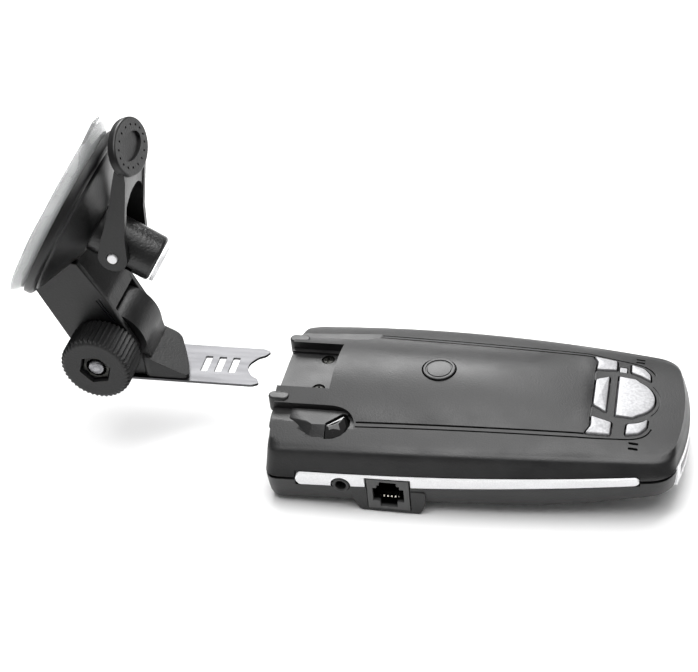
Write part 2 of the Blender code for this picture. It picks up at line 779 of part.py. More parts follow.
def make_jacks(mats):
    face = -HALF_WIDTH + 0.2
    back = face + 14.0
    jack = box("phone_jack", JACK_X - JACK_HALF, JACK_X + JACK_HALF, face, back, JACK_LOW, JACK_HIGH, mats["jack"])
    right = [(2.7, 1.0), (2.7, 3.2), (4.9, 3.2), (4.9, 8.4), (3.6, 8.4), (3.6, 9.6), (2.7, 9.6), (2.7, 11.0)]
    cavity = right + [(-u, v) for u, v in reversed(right)]
    outline = [(JACK_X + u, JACK_LOW + v) for u, v in cavity]
    cut(jack, prism("jack_cavity", outline, face - 3.0, back - 2.0, None, "Y"))
    comb = box("jack_contacts", JACK_X - 4.0, JACK_X + 4.0, back - 3.6, back - 2.3, JACK_LOW + 3.6, JACK_LOW + 4.8,
               mats["contact"])
    places = [JACK_X + (k - 2.5) * 1.2 for k in range(6)]
    fuse(comb, *[box("contact", x - 0.25, x + 0.25, face + 3.0, back - 3.2, JACK_LOW + 3.9, JACK_LOW + 4.5)
                 for x in places])
    ring_profile = [(1.8, 0.0), (2.7, 0.0), (2.7, 6.0), (2.4, 6.0), (2.4, 12.0), (0.0, 12.0), (0.0, 10.0), (1.8, 10.0)]
    ear = lathe("earphone_jack", ring_profile, mats["jack"], 20)
    ear.rotation_euler = (-math.pi / 2, 0.0, 0.0)
    ear.location = (EARPHONE_X * MM, (-HALF_WIDTH - 0.2) * MM, EARPHONE_Z * MM)


def make_fasteners(mats):
    for number, (sx, sy) in enumerate(SCREW_PLACES, 1):
        low = belly_z(sx, 12.0)
        profile = [(0.0, 0.4), (2.5, 0.4), (2.5, 1.1), (1.3, 1.3), (1.3, seam_z(sx) - low + 5.6),
                   (0.0, seam_z(sx) - low + 6.0)]
        screw = lathe("case_screw_%d" % number, profile, mats["steel"], 16)
        screw.location = (sx * MM, sy * MM, low * MM)
    for number, (sx, sy) in enumerate(POCKET_SCREWS, 1):
        profile = [(0.0, -4.0), (1.0, -4.0), (1.0, -0.7), (1.9, -0.7), (1.9, -0.1), (1.2, 0.15), (0.0, 0.15)]
        screw = lathe("pocket_screw_%d" % number, profile, mats["dark_steel"], 16)
        screw.location = (sx * MM, sy * MM, (SEAM + 11.9) * MM)
    box("rating_label", LABEL_START, LABEL_END, -13.0, 13.0, 0.05, 0.2, mats["label"])


# ---------------------------------------------------------------- button, latch and keys
def make_release(mats):
    bx = BUTTON_STATION - HALF_LENGTH
    profile = [(0.0, 13.4), (6.4, 13.4), (6.4, 14.2), (BUTTON_RADIUS, 14.2), (BUTTON_RADIUS, 17.35),
               (BUTTON_RADIUS - 0.5, 17.75), (0.0, 17.75)]
    button = lathe("release_button", profile, mats["case"], 28)
    button.location = (bx * MM, 0.0, SEAM * MM)
    plate = box("latch_plate", TOOTH_X - 1.4, bx + 4.0, -2.2, 2.2, SEAM + 9.0, SEAM + 10.1, mats["steel"])
    fuse(plate, box("latch_tooth", TOOTH_X - 1.4, TOOTH_X + 1.4, -2.2, 2.2, SEAM + 9.5, SEAM + 12.1))
    fuse(plate, box("latch_post", bx - 3.0, bx + 3.0, -2.2, 2.2, SEAM + 9.5, SEAM + 13.1))
    seat(plate, (bx, 0.0, SEAM + 9.0))
    make_spring("latch_spring", bx, SEAM + 4.6, SEAM + 8.6, 2.6, 0.35, 3.5, mats["steel"])


def make_spring(name, x, low, high, radius, wire, turns, mat, steps=10, sides=5):
    """A coil of round wire with closed ends."""
    total = int(turns * steps)
    points = []
    for i in range(total + 1):
        angle = math.tau * i / steps
        z = low + wire + (high - low - 2 * wire) * i / total
        for k in range(sides):
            turn = math.tau * k / sides
            reach = radius + wire * math.cos(turn)
            points.append((x + reach * math.cos(angle), reach * math.sin(angle), z + wire * math.sin(turn)))
    faces = [tuple(range(sides)), tuple(range(total * sides, total * sides + sides))]
    for i in range(total):
        for k in range(sides):
            m = (k + 1) % sides
            faces.append((i * sides + k, i * sides + m, (i + 1) * sides + m, (i + 1) * sides + k))
    return smooth(add_object(name, points, faces, mat))


def make_keys(mats):
    for name, outline in KEY_OUTLINES.items():
        key = prism(name, outline, SEAM + KEY_BOTTOM, lambda x, y: top_z(x, y) + KEY_PROUD, mats["key"])
        cx = sum(x for x, _ in outline) / len(outline)
        cy = sum(y for _, y in outline) / len(outline)
        seat(key, (cx, cy, SEAM + KEY_BOTTOM))


# ---------------------------------------------------------------- windscreen mount
def tongue_outline():
    """Flat strap with a fishtail end."""
    tip = -71.0
    notch = -76.6
    far = [(-126.0, TONGUE_HALF - 1.5), (-124.5, TONGUE_HALF), (tip - 2.2, TONGUE_HALF), (tip, TONGUE_HALF - 1.2),
           (tip - 1.2, TONGUE_HALF - 3.4), (tip - 3.4, TONGUE_HALF - 4.6), (notch + 0.5, 2.2), (notch, 0.8)]
    return far + [(x, -y) for x, y in reversed(far)]


def make_tongue(mats, frame):
    tongue = prism("tongue", tongue_outline(), SEAM + TONGUE_BOTTOM, SEAM + TONGUE_TOP, mats["steel"])
    for k in range(3):
        x = -81.5 - 4.7 * k
        cut(tongue, box("cross_slot", x - 1.2, x + 1.2, -3.8, 3.8, SEAM + 11.0, SEAM + 15.0))
    for x in RIVET_PLACES:
        cut(tongue, prism("rivet_hole", circle(1.9, 16, (x, 0.0)), SEAM + 11.0, SEAM + 15.0))
    seat(tongue, SLIDE_ORIGIN, frame, SLIDE_ORIGIN)


RIVET_PLACES = (-111.0, -123.5)
SLIDE_ORIGIN = (KNOB_AXIS[0], 0.0, SEAM + TONGUE_TOP)


def make_foot(mats, frame):
    """Barrel on the clamp bolt, with a toe that stands on the tongue."""
    kx, kz = KNOB_AXIS
    base = SEAM + TONGUE_TOP + FIT_GAP
    side = arc(KNOB_AXIS, BARREL_RADIUS, -4, 205, 24)
    side += [(kx - 8.4, base + 2.4), (kx - 8.4, base), (kx + 15.4, base), (kx + 14.4, base + 4.4)]
    foot = smooth(prism("foot", side, -FORK_INNER + 0.3, FORK_INNER - 0.3, mats["mount"], "Y"))
    toe = round_outline([(kx + 12.4, -8.8), (kx + 25.5, -8.8), (kx + 22.6, 0.0), (kx + 18.2, 8.8),
                         (kx + 12.4, 8.8)], 2.0)
    slope = lambda x, y: base + 7.6 - 0.52 * (x - kx - 12.4)
    fuse(foot, prism("toe", toe, base, slope))
    cut(foot, prism("bolt_bore", circle(3.35, 20, KNOB_AXIS), -20.0, 20.0, None, "Y"))
    for x in RIVET_PLACES:
        cut(foot, prism("rivet_bore", circle(1.9, 16, (x, 0.0)), SEAM + 12.0, base + 2.0))
    seat(foot, SLIDE_ORIGIN, frame, SLIDE_ORIGIN)
    for number, x in enumerate(RIVET_PLACES, 1):
        profile = [(0.0, -1.3), (2.6, -1.3), (3.0, -0.9), (3.0, -FIT_GAP), (1.6, -FIT_GAP), (1.6, 2.6), (0.0, 2.6)]
        rivet = lathe("foot_rivet_%d" % number, profile, mats["steel"], 16)
        rivet.parent = frame
        rivet.location = Vector((x - SLIDE_ORIGIN[0], 0.0, TONGUE_BOTTOM - TONGUE_TOP)) * MM


def make_clamp(mats, slide_frame, pivot_frame):
    """Bolt fixed in the foot; knob and nut turn on its near end."""
    bolt_profile = [(0.0, 0.0), (5.0, 0.0), (5.5, 0.7), (5.5, 2.4), (3.0, 2.4), (3.0, 33.0), (2.3, 33.8), (0.0, 33.8)]
    bolt = lathe("clamp_bolt", bolt_profile, mats["steel"], 20)
    bolt.rotation_euler = (math.pi / 2, 0.0, 0.0)
    bolt.parent = slide_frame
    bolt.location = Vector((0.0, FORK_OUTER + FIT_GAP + 2.4, KNOB_AXIS[1] - SLIDE_ORIGIN[2])) * MM
    knob = make_knob(mats)
    seat(knob, (KNOB_AXIS[0], 0.0, KNOB_AXIS[1]), pivot_frame, (KNOB_AXIS[0], 0.0, KNOB_AXIS[1]))
    nut = prism("clamp_nut", circle(4.9, 6, KNOB_AXIS, 0.2), KNOB_NEAR + 1.6, KNOB_NEAR + 4.9, mats["steel"], "Y")
    cut(nut, prism("nut_bore", circle(3.3, 20, KNOB_AXIS), -40.0, 0.0, None, "Y"))
    seat(nut, (KNOB_AXIS[0], 0.0, KNOB_AXIS[1]), pivot_frame, (KNOB_AXIS[0], 0.0, KNOB_AXIS[1]))


def make_knob(mats):
    ribs = 48
    outline = []
    for i in range(2 * ribs):
        radius = KNOB_RADIUS if i % 2 == 0 else KNOB_RADIUS - 0.45
        angle = math.tau * i / (2 * ribs)
        outline.append((KNOB_AXIS[0] + radius * math.cos(angle), KNOB_AXIS[1] + radius * math.sin(angle)))
    knob = prism("clamp_knob", outline, KNOB_NEAR, -FORK_OUTER - FIT_GAP, mats["mount"], "Y")
    cut(knob, prism("knob_bore", circle(3.4, 20, KNOB_AXIS), -40.0, 0.0, None, "Y"))
    cut(knob, prism("knob_hex", circle(5.3, 6, KNOB_AXIS, 0.2), KNOB_NEAR - 4.0, KNOB_NEAR + 5.2, None, "Y"))
    return knob


def cup_point(along, up):
    """World x, z of a point given along the cup axis and up the rim disc."""
    tilt = math.radians(CUP_TILT)
    x = CUP_CENTRE[0] + along * math.cos(tilt) + up * math.sin(tilt)
    z = CUP_CENTRE[1] - along * math.sin(tilt) + up * math.cos(tilt)
    return (x, z)


def make_arm(mats, cup_frame):
    """Domed cup back and its fork in one moulding."""
    profile = [(CUP_RADIUS, 0.0), (CUP_RADIUS, 2.2), (CUP_RADIUS - 1.2, 3.2), (24.5, 4.0), (20.0, 5.8), (15.0, 8.2),
               (11.5, 9.8), (9.2, 10.5), (7.9, 10.5), (7.9, 8.0), (13.0, 6.2), (18.0, 3.9),
               (22.5, 2.0), (25.6, 1.0), (25.6, 0.0)]
    arm = lathe("cup_housing", profile, mats["mount"], 40)
    arm.parent = cup_frame
    for side in (-1, 1):
        near, far = sorted((side * FORK_INNER, side * FORK_OUTER))
        fuse(arm, prism("fork_wall", fork_outline(), near, far, None, "Y"))
    web = [cup_point(3.0, -12.2), cup_point(9.6, -10.8), (-116.4, 58.4), (-114.6, 53.4), (-117.2, 53.4),
           (-119.8, 57.4), cup_point(2.6, -17.5)]
    fuse(arm, prism("fork_web", web, -FORK_INNER - 0.5, FORK_INNER + 0.5, None, "Y"))
    cut(arm, prism("arm_bore", circle(3.35, 20, KNOB_AXIS), -20.0, 20.0, None, "Y"))
    return arm


def fork_outline():
    outline = [cup_point(1.2, -26.0)]
    outline += arc(KNOB_AXIS, EYE_RADIUS, 197, 372, 18)
    outline += [(-116.4, 58.2), cup_point(10.2, -9.0), cup_point(2.4, -12.0)]
    return outline


def make_suction_pad(mats, cup_frame):
    """Clear pad with a pull tab, a little larger than the rim."""
    profile = [(0.0, -4.3), (26.0, -4.3), (29.6, -4.0), (29.8, -3.2), (27.5, -0.8), (25.0, -FIT_GAP), (0.0, -FIT_GAP)]
    pad = lathe("suction_pad", profile, mats["pad"], 40)
    pad.parent = cup_frame
    tab = round_outline([(-28.0, -4.5), (-36.5, -2.6), (-36.5, 2.6), (-28.0, 4.5)], 1.4)
    pull = prism("pull_tab", tab, -4.1, -3.0)
    pull.parent = cup_frame
    fuse(pad, pull)
    return pad


def make_stem(mats, stem_frame):
    profile = [(0.0, 4.2), (6.6, 4.2), (7.2, 4.8), (STEM_RADIUS, 6.0), (STEM_RADIUS, STEM_END - 0.8), (STEM_RADIUS - 0.8, STEM_END),
               (0.0, STEM_END)]
    stem = lathe("suction_stem", profile, mats["mount"], 28)
    stem.parent = stem_frame
    bore = prism("pin_bore", circle(1.9, 14, (0.0, PIN_ALONG)), -12.0, 12.0, None, "Y")
    bore.parent = stem_frame
    cut(stem, bore)
    cap = lathe("stem_cap", [(0.0, STEM_END + FIT_GAP), (7.0, STEM_END + FIT_GAP), (7.0, STEM_END + 1.2),
                             (6.5, STEM_END + 1.6), (0.0, STEM_END + 1.6)], mats["trim"], 28)
    cap.parent = stem_frame
    pin = prism("pivot_pin", circle(1.6, 14, (0.0, PIN_ALONG)), -10.6, 10.6, mats["steel"], "Y")
    pin.parent = stem_frame


def make_lever(mats, pivot_frame, pin):
    """Yoke with two side arms, a cross plate and an oval finger tab."""
    px, pz = pin
    side = arc(pin, 4.7, 150, 355, 10)
    side += [(px + 5.4, pz + 8.0), (px + 8.8, pz + 28.0), (px + 5.4, pz + 28.0), (px - 3.4, pz + 7.0)]
    lever = smooth(prism("suction_lever", side, -FORK_OUTER, -FORK_OUTER + 1.8, mats["mount"], "Y"))
    cross = [(px + 3.7, pz + 11.0), (px + 5.6, pz + 11.0), (px + 9.0, pz + 29.6), (px + 6.6, pz + 29.6)]
    tab = prism("finger_tab", [(TAB_HALF_RISE * math.cos(a), TAB_HALF_WIDTH * math.sin(a))
                               for a in (math.tau * i / 28 for i in range(28))], -1.3, 1.3)
    tab.location = Vector((px + TAB_OUT, 0.0, pz + TAB_UP)) * MM
    tab.rotation_euler = (0.0, math.radians(90.0 - TAB_LEAN), 0.0)
    fuse(lever, prism("far_side", side, FORK_OUTER - 1.8, FORK_OUTER, None, "Y"),
         prism("cross_plate", cross, -FORK_OUTER + 0.9, FORK_OUTER - 0.9, None, "Y"), tab)
    arch = [(-7.9, pz + 8.0), (7.9, pz + 8.0), (7.9, pz + 15.5), (4.0, pz + 20.4), (-4.0, pz + 20.4),
            (-7.9, pz + 15.5)]
    cut(lever, prism("lever_arch", arch, px, px + 12.0, None, "X"),
        prism("lever_bore", circle(1.9, 14, pin), -20.0, 20.0, None, "Y"))
    place = (px, 0.0, pz)
    seat(lever, place, pivot_frame, place)


def make_mount(mats):
    kx, kz = KNOB_AXIS
    slide = add_empty("slide_frame", SLIDE_ORIGIN)
    pivot_place = (kx, 0.0, kz)
    arm_pivot = add_empty("arm_pivot", (0.0, 0.0, kz - SLIDE_ORIGIN[2]), slide)
    turn = (0.0, math.radians(90.0 + CUP_TILT), 0.0)
    cup_place = Vector((CUP_CENTRE[0], 0.0, CUP_CENTRE[1])) - Vector(pivot_place)
    cup_frame = add_empty("cup_frame", cup_place, arm_pivot, turn)
    make_tongue(mats, slide)
    make_foot(mats, slide)
    make_clamp(mats, slide, arm_pivot)
    make_arm(mats, cup_frame)
    make_suction_pad(mats, cup_frame)
    make_stem(mats, cup_frame)
    pin = cup_point(PIN_ALONG, 0.0)
    lever_pivot = add_empty("lever_pivot", Vector((pin[0], 0.0, pin[1])) - Vector(pivot_place), arm_pivot)
    make_lever(mats, lever_pivot, pin)


# ---------------------------------------------------------------- assembly
def make_materials():
    return {
        "case": material("case_black", (0.035, 0.035, 0.037), 0.55),
        "trim": material("silver_trim", (0.78, 0.78, 0.80), 0.30, 0.6),
        "lens": material("dark_lens", (0.01, 0.01, 0.012), 0.06),
        "indicator": material("indicator_window", (0.45, 0.45, 0.47), 0.25),
        "key": material("silver_key", (0.72, 0.72, 0.74), 0.35, 0.3),
        "board": material("circuit_board", (0.02, 0.16, 0.07), 0.45),
        "mat": material("key_mat", (0.30, 0.30, 0.32), 0.70),
        "cast": material("cast_alloy", (0.55, 0.55, 0.57), 0.45, 0.9),
        "chip": material("component_black", (0.03, 0.03, 0.03), 0.50),
        "jack": material("jack_black", (0.05, 0.05, 0.05), 0.40),
        "contact": material("gilt_contact", (0.85, 0.66, 0.30), 0.25, 1.0),
        "steel": material("bright_steel", (0.62, 0.62, 0.63), 0.28, 1.0),
        "dark_steel": material("dark_steel", (0.10, 0.09, 0.08), 0.45, 0.8),
        "label": material("blank_label", (0.60, 0.60, 0.61), 0.60),
        "mount": material("mount_black", (0.045, 0.045, 0.047), 0.60),
        "pad": material("clear_pad", (0.88, 0.90, 0.92), 0.10, 0.0, 0.45),
    }


def main():
    clear_scene()
    mats = make_materials()
    make_top_shell(mats)
    make_bottom_shell(mats)
    make_trims(mats)
    make_boards(mats)
    make_antenna(mats)
    make_windows(mats)
    make_display(mats)
    make_speaker(mats)
    make_jacks(mats)
    make_fasteners(mats)
    make_release(mats)
    make_keys(mats)
    make_mount(mats)


main()
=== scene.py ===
# %% [markdown]
# # A radar detector with its windscreen mount
# The detector is a long black case with a crowned top panel, silver keys at the driver's end, a silver
# strip along each side and two sockets on the near side. Its windscreen mount is a steel tongue on a
# plastic foot, with a ribbed clamp knob, a forked arm and a suction cup.

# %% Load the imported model
import json
import math

import bmesh
import bpy
from mathutils import Matrix, Vector


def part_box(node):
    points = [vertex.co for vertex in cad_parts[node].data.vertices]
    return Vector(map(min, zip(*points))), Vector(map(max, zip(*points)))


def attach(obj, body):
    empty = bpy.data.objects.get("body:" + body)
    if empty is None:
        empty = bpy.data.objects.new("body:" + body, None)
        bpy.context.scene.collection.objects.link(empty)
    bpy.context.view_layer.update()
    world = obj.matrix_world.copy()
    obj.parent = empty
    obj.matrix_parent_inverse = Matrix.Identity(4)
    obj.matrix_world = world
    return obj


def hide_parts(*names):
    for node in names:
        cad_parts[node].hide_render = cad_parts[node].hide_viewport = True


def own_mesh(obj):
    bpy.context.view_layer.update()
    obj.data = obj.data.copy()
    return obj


MM = 0.001
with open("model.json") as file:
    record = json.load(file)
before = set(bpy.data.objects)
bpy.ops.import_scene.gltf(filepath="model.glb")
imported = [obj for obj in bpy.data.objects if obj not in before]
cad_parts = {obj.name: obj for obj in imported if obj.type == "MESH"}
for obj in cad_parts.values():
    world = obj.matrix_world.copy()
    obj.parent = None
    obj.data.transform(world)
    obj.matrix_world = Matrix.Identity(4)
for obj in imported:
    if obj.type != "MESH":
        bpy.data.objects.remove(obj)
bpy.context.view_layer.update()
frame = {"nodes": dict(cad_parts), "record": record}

# %% [markdown]
# ## Two ways to make a solid
# Most pieces here are one of two kinds. A prism is an outline pushed along one axis, such as a key or the
# side of the fork. A turned piece is a profile spun round an axis, such as the stem or the cup. Both are
# built as plain mesh data in millimetres, because the outline's numbers can then be read like a drawing.

# %% Helpers that make solids
def solid(name, points, faces):
    """A closed mesh from millimetre points, with its faces turned outwards."""
    mesh = bpy.data.meshes.new(name)
    mesh.from_pydata([(x * MM, y * MM, z * MM) for x, y, z in points], [], faces)
    shape = bmesh.new()
    shape.from_mesh(mesh)
    bmesh.ops.recalc_face_normals(shape, faces=shape.faces)
    if shape.calc_volume(signed=True) < 0.0:
        bmesh.ops.reverse_faces(shape, faces=shape.faces)
    shape.to_mesh(mesh)
    shape.free()
    obj = bpy.data.objects.new(name, mesh)
    bpy.context.scene.collection.objects.link(obj)
    return obj


def band(lower, upper, n):
    """The quads between two rings of n points, given each ring's first index."""
    return [(lower + i, lower + (i + 1) % n, upper + (i + 1) % n, upper + i) for i in range(n)]


def prism(name, outline, low, high, axis="Z"):
    """Pushes an outline along an axis; low and high are levels, or functions of the outline's coordinates."""
    orders = {
        "X": lambda u, v, w: (w, u, v),
        "Y": lambda u, v, w: (u, w, v),
        "Z": lambda u, v, w: (u, v, w),
    }
    order = orders[axis]
    low_at = low if callable(low) else lambda u, v: low
    high_at = high if callable(high) else lambda u, v: high
    n = len(outline)
    points = [order(u, v, low_at(u, v)) for u, v in outline]
    points += [order(u, v, high_at(u, v)) for u, v in outline]
    faces = [tuple(range(n)), tuple(range(n, 2 * n))]
    faces += band(0, n, n)
    return solid(name, points, faces)


def turned(name, profile, segments=64):
    """Spins a closed profile of (radius, height) about Z."""
    points, rows = [], []
    for radius, height in profile:
        if radius < 1e-6:
            rows.append([len(points)] * segments)
            points.append((0.0, 0.0, height))
        else:
            rows.append(list(range(len(points), len(points) + segments)))
            turn = [math.tau * i / segments for i in range(segments)]
            points += [(radius * math.cos(a), radius * math.sin(a), height) for a in turn]
    faces = []
    for here, there in zip(rows, rows[1:] + rows[:1]):
        for i in range(segments):
            j = (i + 1) % segments
            corners = list(dict.fromkeys((here[i], here[j], there[j], there[i])))
            if len(corners) > 2:
                faces.append(tuple(corners))
    return solid(name, points, faces)


def stacked(name, loops):
    """Skins a stack of loops with the same count and closes both ends with a face."""
    n = len(loops[0])
    faces = [tuple(range(n)), tuple(range((len(loops) - 1) * n, len(loops) * n))]
    for k in range(len(loops) - 1):
        faces += band(k * n, (k + 1) * n, n)
    return solid(name, [p for loop in loops for p in loop], faces)


def circle(radius, count=48, centre=(0.0, 0.0), start=0.0):
    turn = [start + math.tau * i / count for i in range(count)]
    return [(centre[0] + radius * math.cos(a), centre[1] + radius * math.sin(a)) for a in turn]


def arc(centre, radius, start, end, count):
    turn = [math.radians(start + (end - start) * i / count) for i in range(count + 1)]
    return [(centre[0] + radius * math.cos(a), centre[1] + radius * math.sin(a)) for a in turn]


def rectangle(u0, u1, v0, v1, r=0.0, count=6):
    if r <= 0.0:
        return [(u0, v0), (u1, v0), (u1, v1), (u0, v1)]
    return (arc((u1 - r, v0 + r), r, -90, 0, count) + arc((u1 - r, v1 - r), r, 0, 90, count)
            + arc((u0 + r, v1 - r), r, 90, 180, count) + arc((u0 + r, v0 + r), r, 180, 270, count))


def ellipse(a, b, count):
    turn = [math.tau * i / count for i in range(count)]
    return [(a * math.cos(t), b * math.sin(t)) for t in turn]


def bezier(a, b, c, count):
    """Points strictly between a and c on the corner curve that b pulls."""
    steps = [i / count for i in range(1, count)]
    return [tuple((1 - t) ** 2 * a[k] + 2 * t * (1 - t) * b[k] + t * t * c[k] for k in (0, 1)) for t in steps]


def rounded(corners, radius, count=6):
    """Rounds the corners of a polygon."""
    points = []
    for i, here in enumerate(corners):
        here, before, after = Vector(here), Vector(corners[i - 1]), Vector(corners[(i + 1) % len(corners)])
        start = here + (before - here).normalized() * min(radius, (before - here).length * 0.45)
        end = here + (after - here).normalized() * min(radius, (after - here).length * 0.45)
        points += [tuple(start)] + bezier(tuple(start), tuple(here), tuple(end), count) + [tuple(end)]
    return points


def grow(outline, distance):
    """Offsets an outline outwards, or inwards when negative, by moving its sides."""
    area = sum(a[0] * b[1] - b[0] * a[1] for a, b in zip(outline, outline[1:] + outline[:1]))
    sign = 1.0 if area > 0 else -1.0
    grown = []
    for i, here in enumerate(outline):
        here, before, after = Vector(here), Vector(outline[i - 1]), Vector(outline[(i + 1) % len(outline)])
        first, second = (here - before).normalized(), (after - here).normalized()
        n1 = Vector((first.y, -first.x)) * sign
        n2 = Vector((second.y, -second.x)) * sign
        middle = (n1 + n2).normalized()
        grown.append(tuple(here + middle * distance / max(0.4, middle.dot(n1))))
    return grown


# %% [markdown]
# ## Cutting, joining and softening
# A moulded piece is a few simple solids joined, with holes cut in it and every edge a little round.
# Blender's Boolean modifier does the first two and its Bevel modifier the third. Each is applied at once,
# so that the next step works on a finished mesh and no hidden cutter is left in the scene.

# %% Helpers that cut, join and soften
def applied(obj):
    """Turns the object's modifiers into its mesh."""
    bpy.context.view_layer.update()
    done = bpy.data.meshes.new_from_object(obj.evaluated_get(bpy.context.evaluated_depsgraph_get()))
    done.name = obj.name
    obj.modifiers.clear()
    obj.data = done
    return obj


def boolean(obj, tools, operation):
    group = bpy.data.collections.new(obj.name + "_tools")
    for tool in tools:
        group.objects.link(tool)
    mod = obj.modifiers.new("boolean", "BOOLEAN")
    mod.operation, mod.solver, mod.operand_type, mod.collection = operation, "EXACT", "COLLECTION", group
    applied(obj)
    for tool in tools:
        bpy.data.objects.remove(tool)
    bpy.data.collections.remove(group)
    return obj


def cut(obj, *tools):
    return boolean(obj, tools, "DIFFERENCE")


def fuse(obj, *tools):
    return boolean(obj, tools, "UNION")


def soften(obj, width, segments=3, angle=30.0):
    """Rounds the edges that are sharper than an angle."""
    mod = obj.modifiers.new("bevel", "BEVEL")
    mod.width, mod.segments = width * MM, segments
    mod.limit_method, mod.angle_limit = "ANGLE", math.radians(angle)
    return applied(obj)


def smooth(obj, degrees=35.0, weighted=True):
    """Smooth shading with sharp creases, where wide faces hold their own direction."""
    obj.data.shade_smooth()
    obj.data.set_sharp_from_angle(angle=math.radians(degrees))
    if not weighted:
        return obj
    mod = obj.modifiers.new("weighted", "WEIGHTED_NORMAL")
    mod.keep_sharp, mod.mode, mod.weight = True, "FACE_AREA_WITH_ANGLE", 60
    return applied(obj)


made = []


def finish_piece(obj, body, finish, slot, *nodes):
    """Gives the piece its material and its body, and hides the CAD nodes that it stands for."""
    obj.data.materials.clear()
    obj.data.materials.append(finish)
    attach(obj, body)
    if nodes:
        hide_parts(*nodes)
    made.append(obj)
    print("%s: %d faces, rides on %s" % (obj.name, len(obj.data.polygons), body))
    return obj


# %% [markdown]
# ## Materials: moulded plastic
# The case is black plastic with a fine spark-eroded grain, which scatters light into a soft grey sheen.
# Two noise textures make it: a very fine one drives the bump, and a broad one varies the colour and the
# roughness a little, as handling does. The mount's plastic has the same recipe, darker and with a coarser
# grain.

# %% A recipe for grained plastic
def start_material(name):
    mat = bpy.data.materials.new(name)
    mat.use_nodes = True
    nodes, links = mat.node_tree.nodes, mat.node_tree.links
    shader = nodes["Principled BSDF"]
    place = nodes.new("ShaderNodeTexCoord")
    return mat, nodes, links, shader, place.outputs["Object"]


def noise(nodes, links, place, scale, detail=3.0, stretch=None):
    if stretch:
        mapping = nodes.new("ShaderNodeMapping")
        mapping.inputs["Scale"].default_value = stretch
        links.new(place, mapping.inputs["Vector"])
        place = mapping.outputs["Vector"]
    texture = nodes.new("ShaderNodeTexNoise")
    texture.inputs["Scale"].default_value = scale
    texture.inputs["Detail"].default_value = detail
    links.new(place, texture.inputs["Vector"])
    return texture.outputs["Fac"]


def ramp(nodes, links, value, low, high, start=0.35, end=0.65):
    """Turns a 0..1 value into a colour or grey between low and high."""
    stops = nodes.new("ShaderNodeValToRGB")
    stops.color_ramp.elements[0].position, stops.color_ramp.elements[1].position = start, end
    stops.color_ramp.elements[0].color = (*low, 1.0)
    stops.color_ramp.elements[1].color = (*high, 1.0)
    links.new(value, stops.inputs["Fac"])
    return stops.outputs["Color"]


def bump(nodes, links, shader, height, strength, distance):
    node = nodes.new("ShaderNodeBump")
    node.inputs["Strength"].default_value = strength
    node.inputs["Distance"].default_value = distance * MM
    links.new(height, node.inputs["Height"])
    links.new(node.outputs["Normal"], shader.inputs["Normal"])


def plastic(name, dark, light, rough, grain, depth, patch=90.0, specular=0.5):
    """Moulded plastic: patchy colour and roughness, with a fine grain. grain is in noise cells per metre."""
    mat, nodes, links, shader, place = start_material(name)
    patches = noise(nodes, links, place, patch, 4.0)
    links.new(ramp(nodes, links, patches, dark, light), shader.inputs["Base Color"])
    roughness = ramp(nodes, links, patches, (rough - 0.05,) * 3, (rough + 0.05,) * 3)
    links.new(roughness, shader.inputs["Roughness"])
    bump(nodes, links, shader, noise(nodes, links, place, grain, 2.0), 0.6, depth)
    shader.inputs["Specular IOR Level"].default_value = specular
    return mat


case_black = plastic("case_grain", (0.0065, 0.0065, 0.0068), (0.0100, 0.0100, 0.0103), 0.42, 1900.0, 0.09)
button_black = plastic("button_grain", (0.006, 0.006, 0.0062), (0.009, 0.009, 0.0092), 0.40, 2400.0, 0.05)
mount_black = plastic("mount_skin", (0.003, 0.003, 0.0032), (0.006, 0.006, 0.0062), 0.38, 1500.0, 0.10,
                      specular=0.40)
stem_black = plastic("stem_pebble", (0.004, 0.004, 0.0042), (0.008, 0.008, 0.0082), 0.32, 1150.0, 0.22)
knob_black = plastic("knob_matt", (0.006, 0.006, 0.0062), (0.012, 0.012, 0.0122), 0.52, 1700.0, 0.18,
                     specular=0.40)
chip_black = plastic("component_epoxy", (0.020, 0.020, 0.020), (0.040, 0.040, 0.040), 0.55, 1500.0, 0.04)
key_rubber = plastic("key_mat_silicone", (0.24, 0.24, 0.26), (0.32, 0.32, 0.34), 0.72, 900.0, 0.04)


def socket_plastic_painted_shade(name, face_y):
    """Grey at the socket's face and black inside it: painted shade deep in the mouth, where colour and
    specular both fall off with depth.
    """
    mat, nodes, links, shader, place = start_material(name)
    parts = nodes.new("ShaderNodeSeparateXYZ")
    links.new(place, parts.inputs["Vector"])
    # painted shade: colour and specular darken with depth into the socket's mouth
    depth = nodes.new("ShaderNodeMapRange")
    depth.inputs["From Min"].default_value = (face_y + 0.2) * MM
    depth.inputs["From Max"].default_value = (face_y + 1.6) * MM
    links.new(parts.outputs["Y"], depth.inputs["Value"])
    grain = noise(nodes, links, place, 2000.0)
    # the painted shade itself: grey at the face to black deep inside, and the specular fades the same way
    links.new(ramp(nodes, links, depth.outputs["Result"], (0.085,) * 3, (0.0015,) * 3, 0.0, 1.0),
              shader.inputs["Base Color"])
    links.new(ramp(nodes, links, depth.outputs["Result"], (0.30,) * 3, (0.02,) * 3, 0.0, 1.0),
              shader.inputs["Specular IOR Level"])
    links.new(ramp(nodes, links, grain, (0.42,) * 3, (0.55,) * 3), shader.inputs["Roughness"])
    bump(nodes, links, shader, grain, 0.4, 0.03)
    return mat


jack_black = socket_plastic_painted_shade("jack_body_painted_shade", -34.8)
print("plastics:", case_black.name, mount_black.name, stem_black.name)

# %% [markdown]
# ## Materials: silver paint, lenses, metals, board, label and vinyl
# Silver paint is a grey with fine flakes, so a tight noise varies its colour and its bump. Steel has long
# thin scratches, made with a noise that is stretched along one axis. The lens is nearly black and
# polished, and the suction pad is a clear soft vinyl: most light goes through it, and a slow ripple bends
# what is seen behind it.

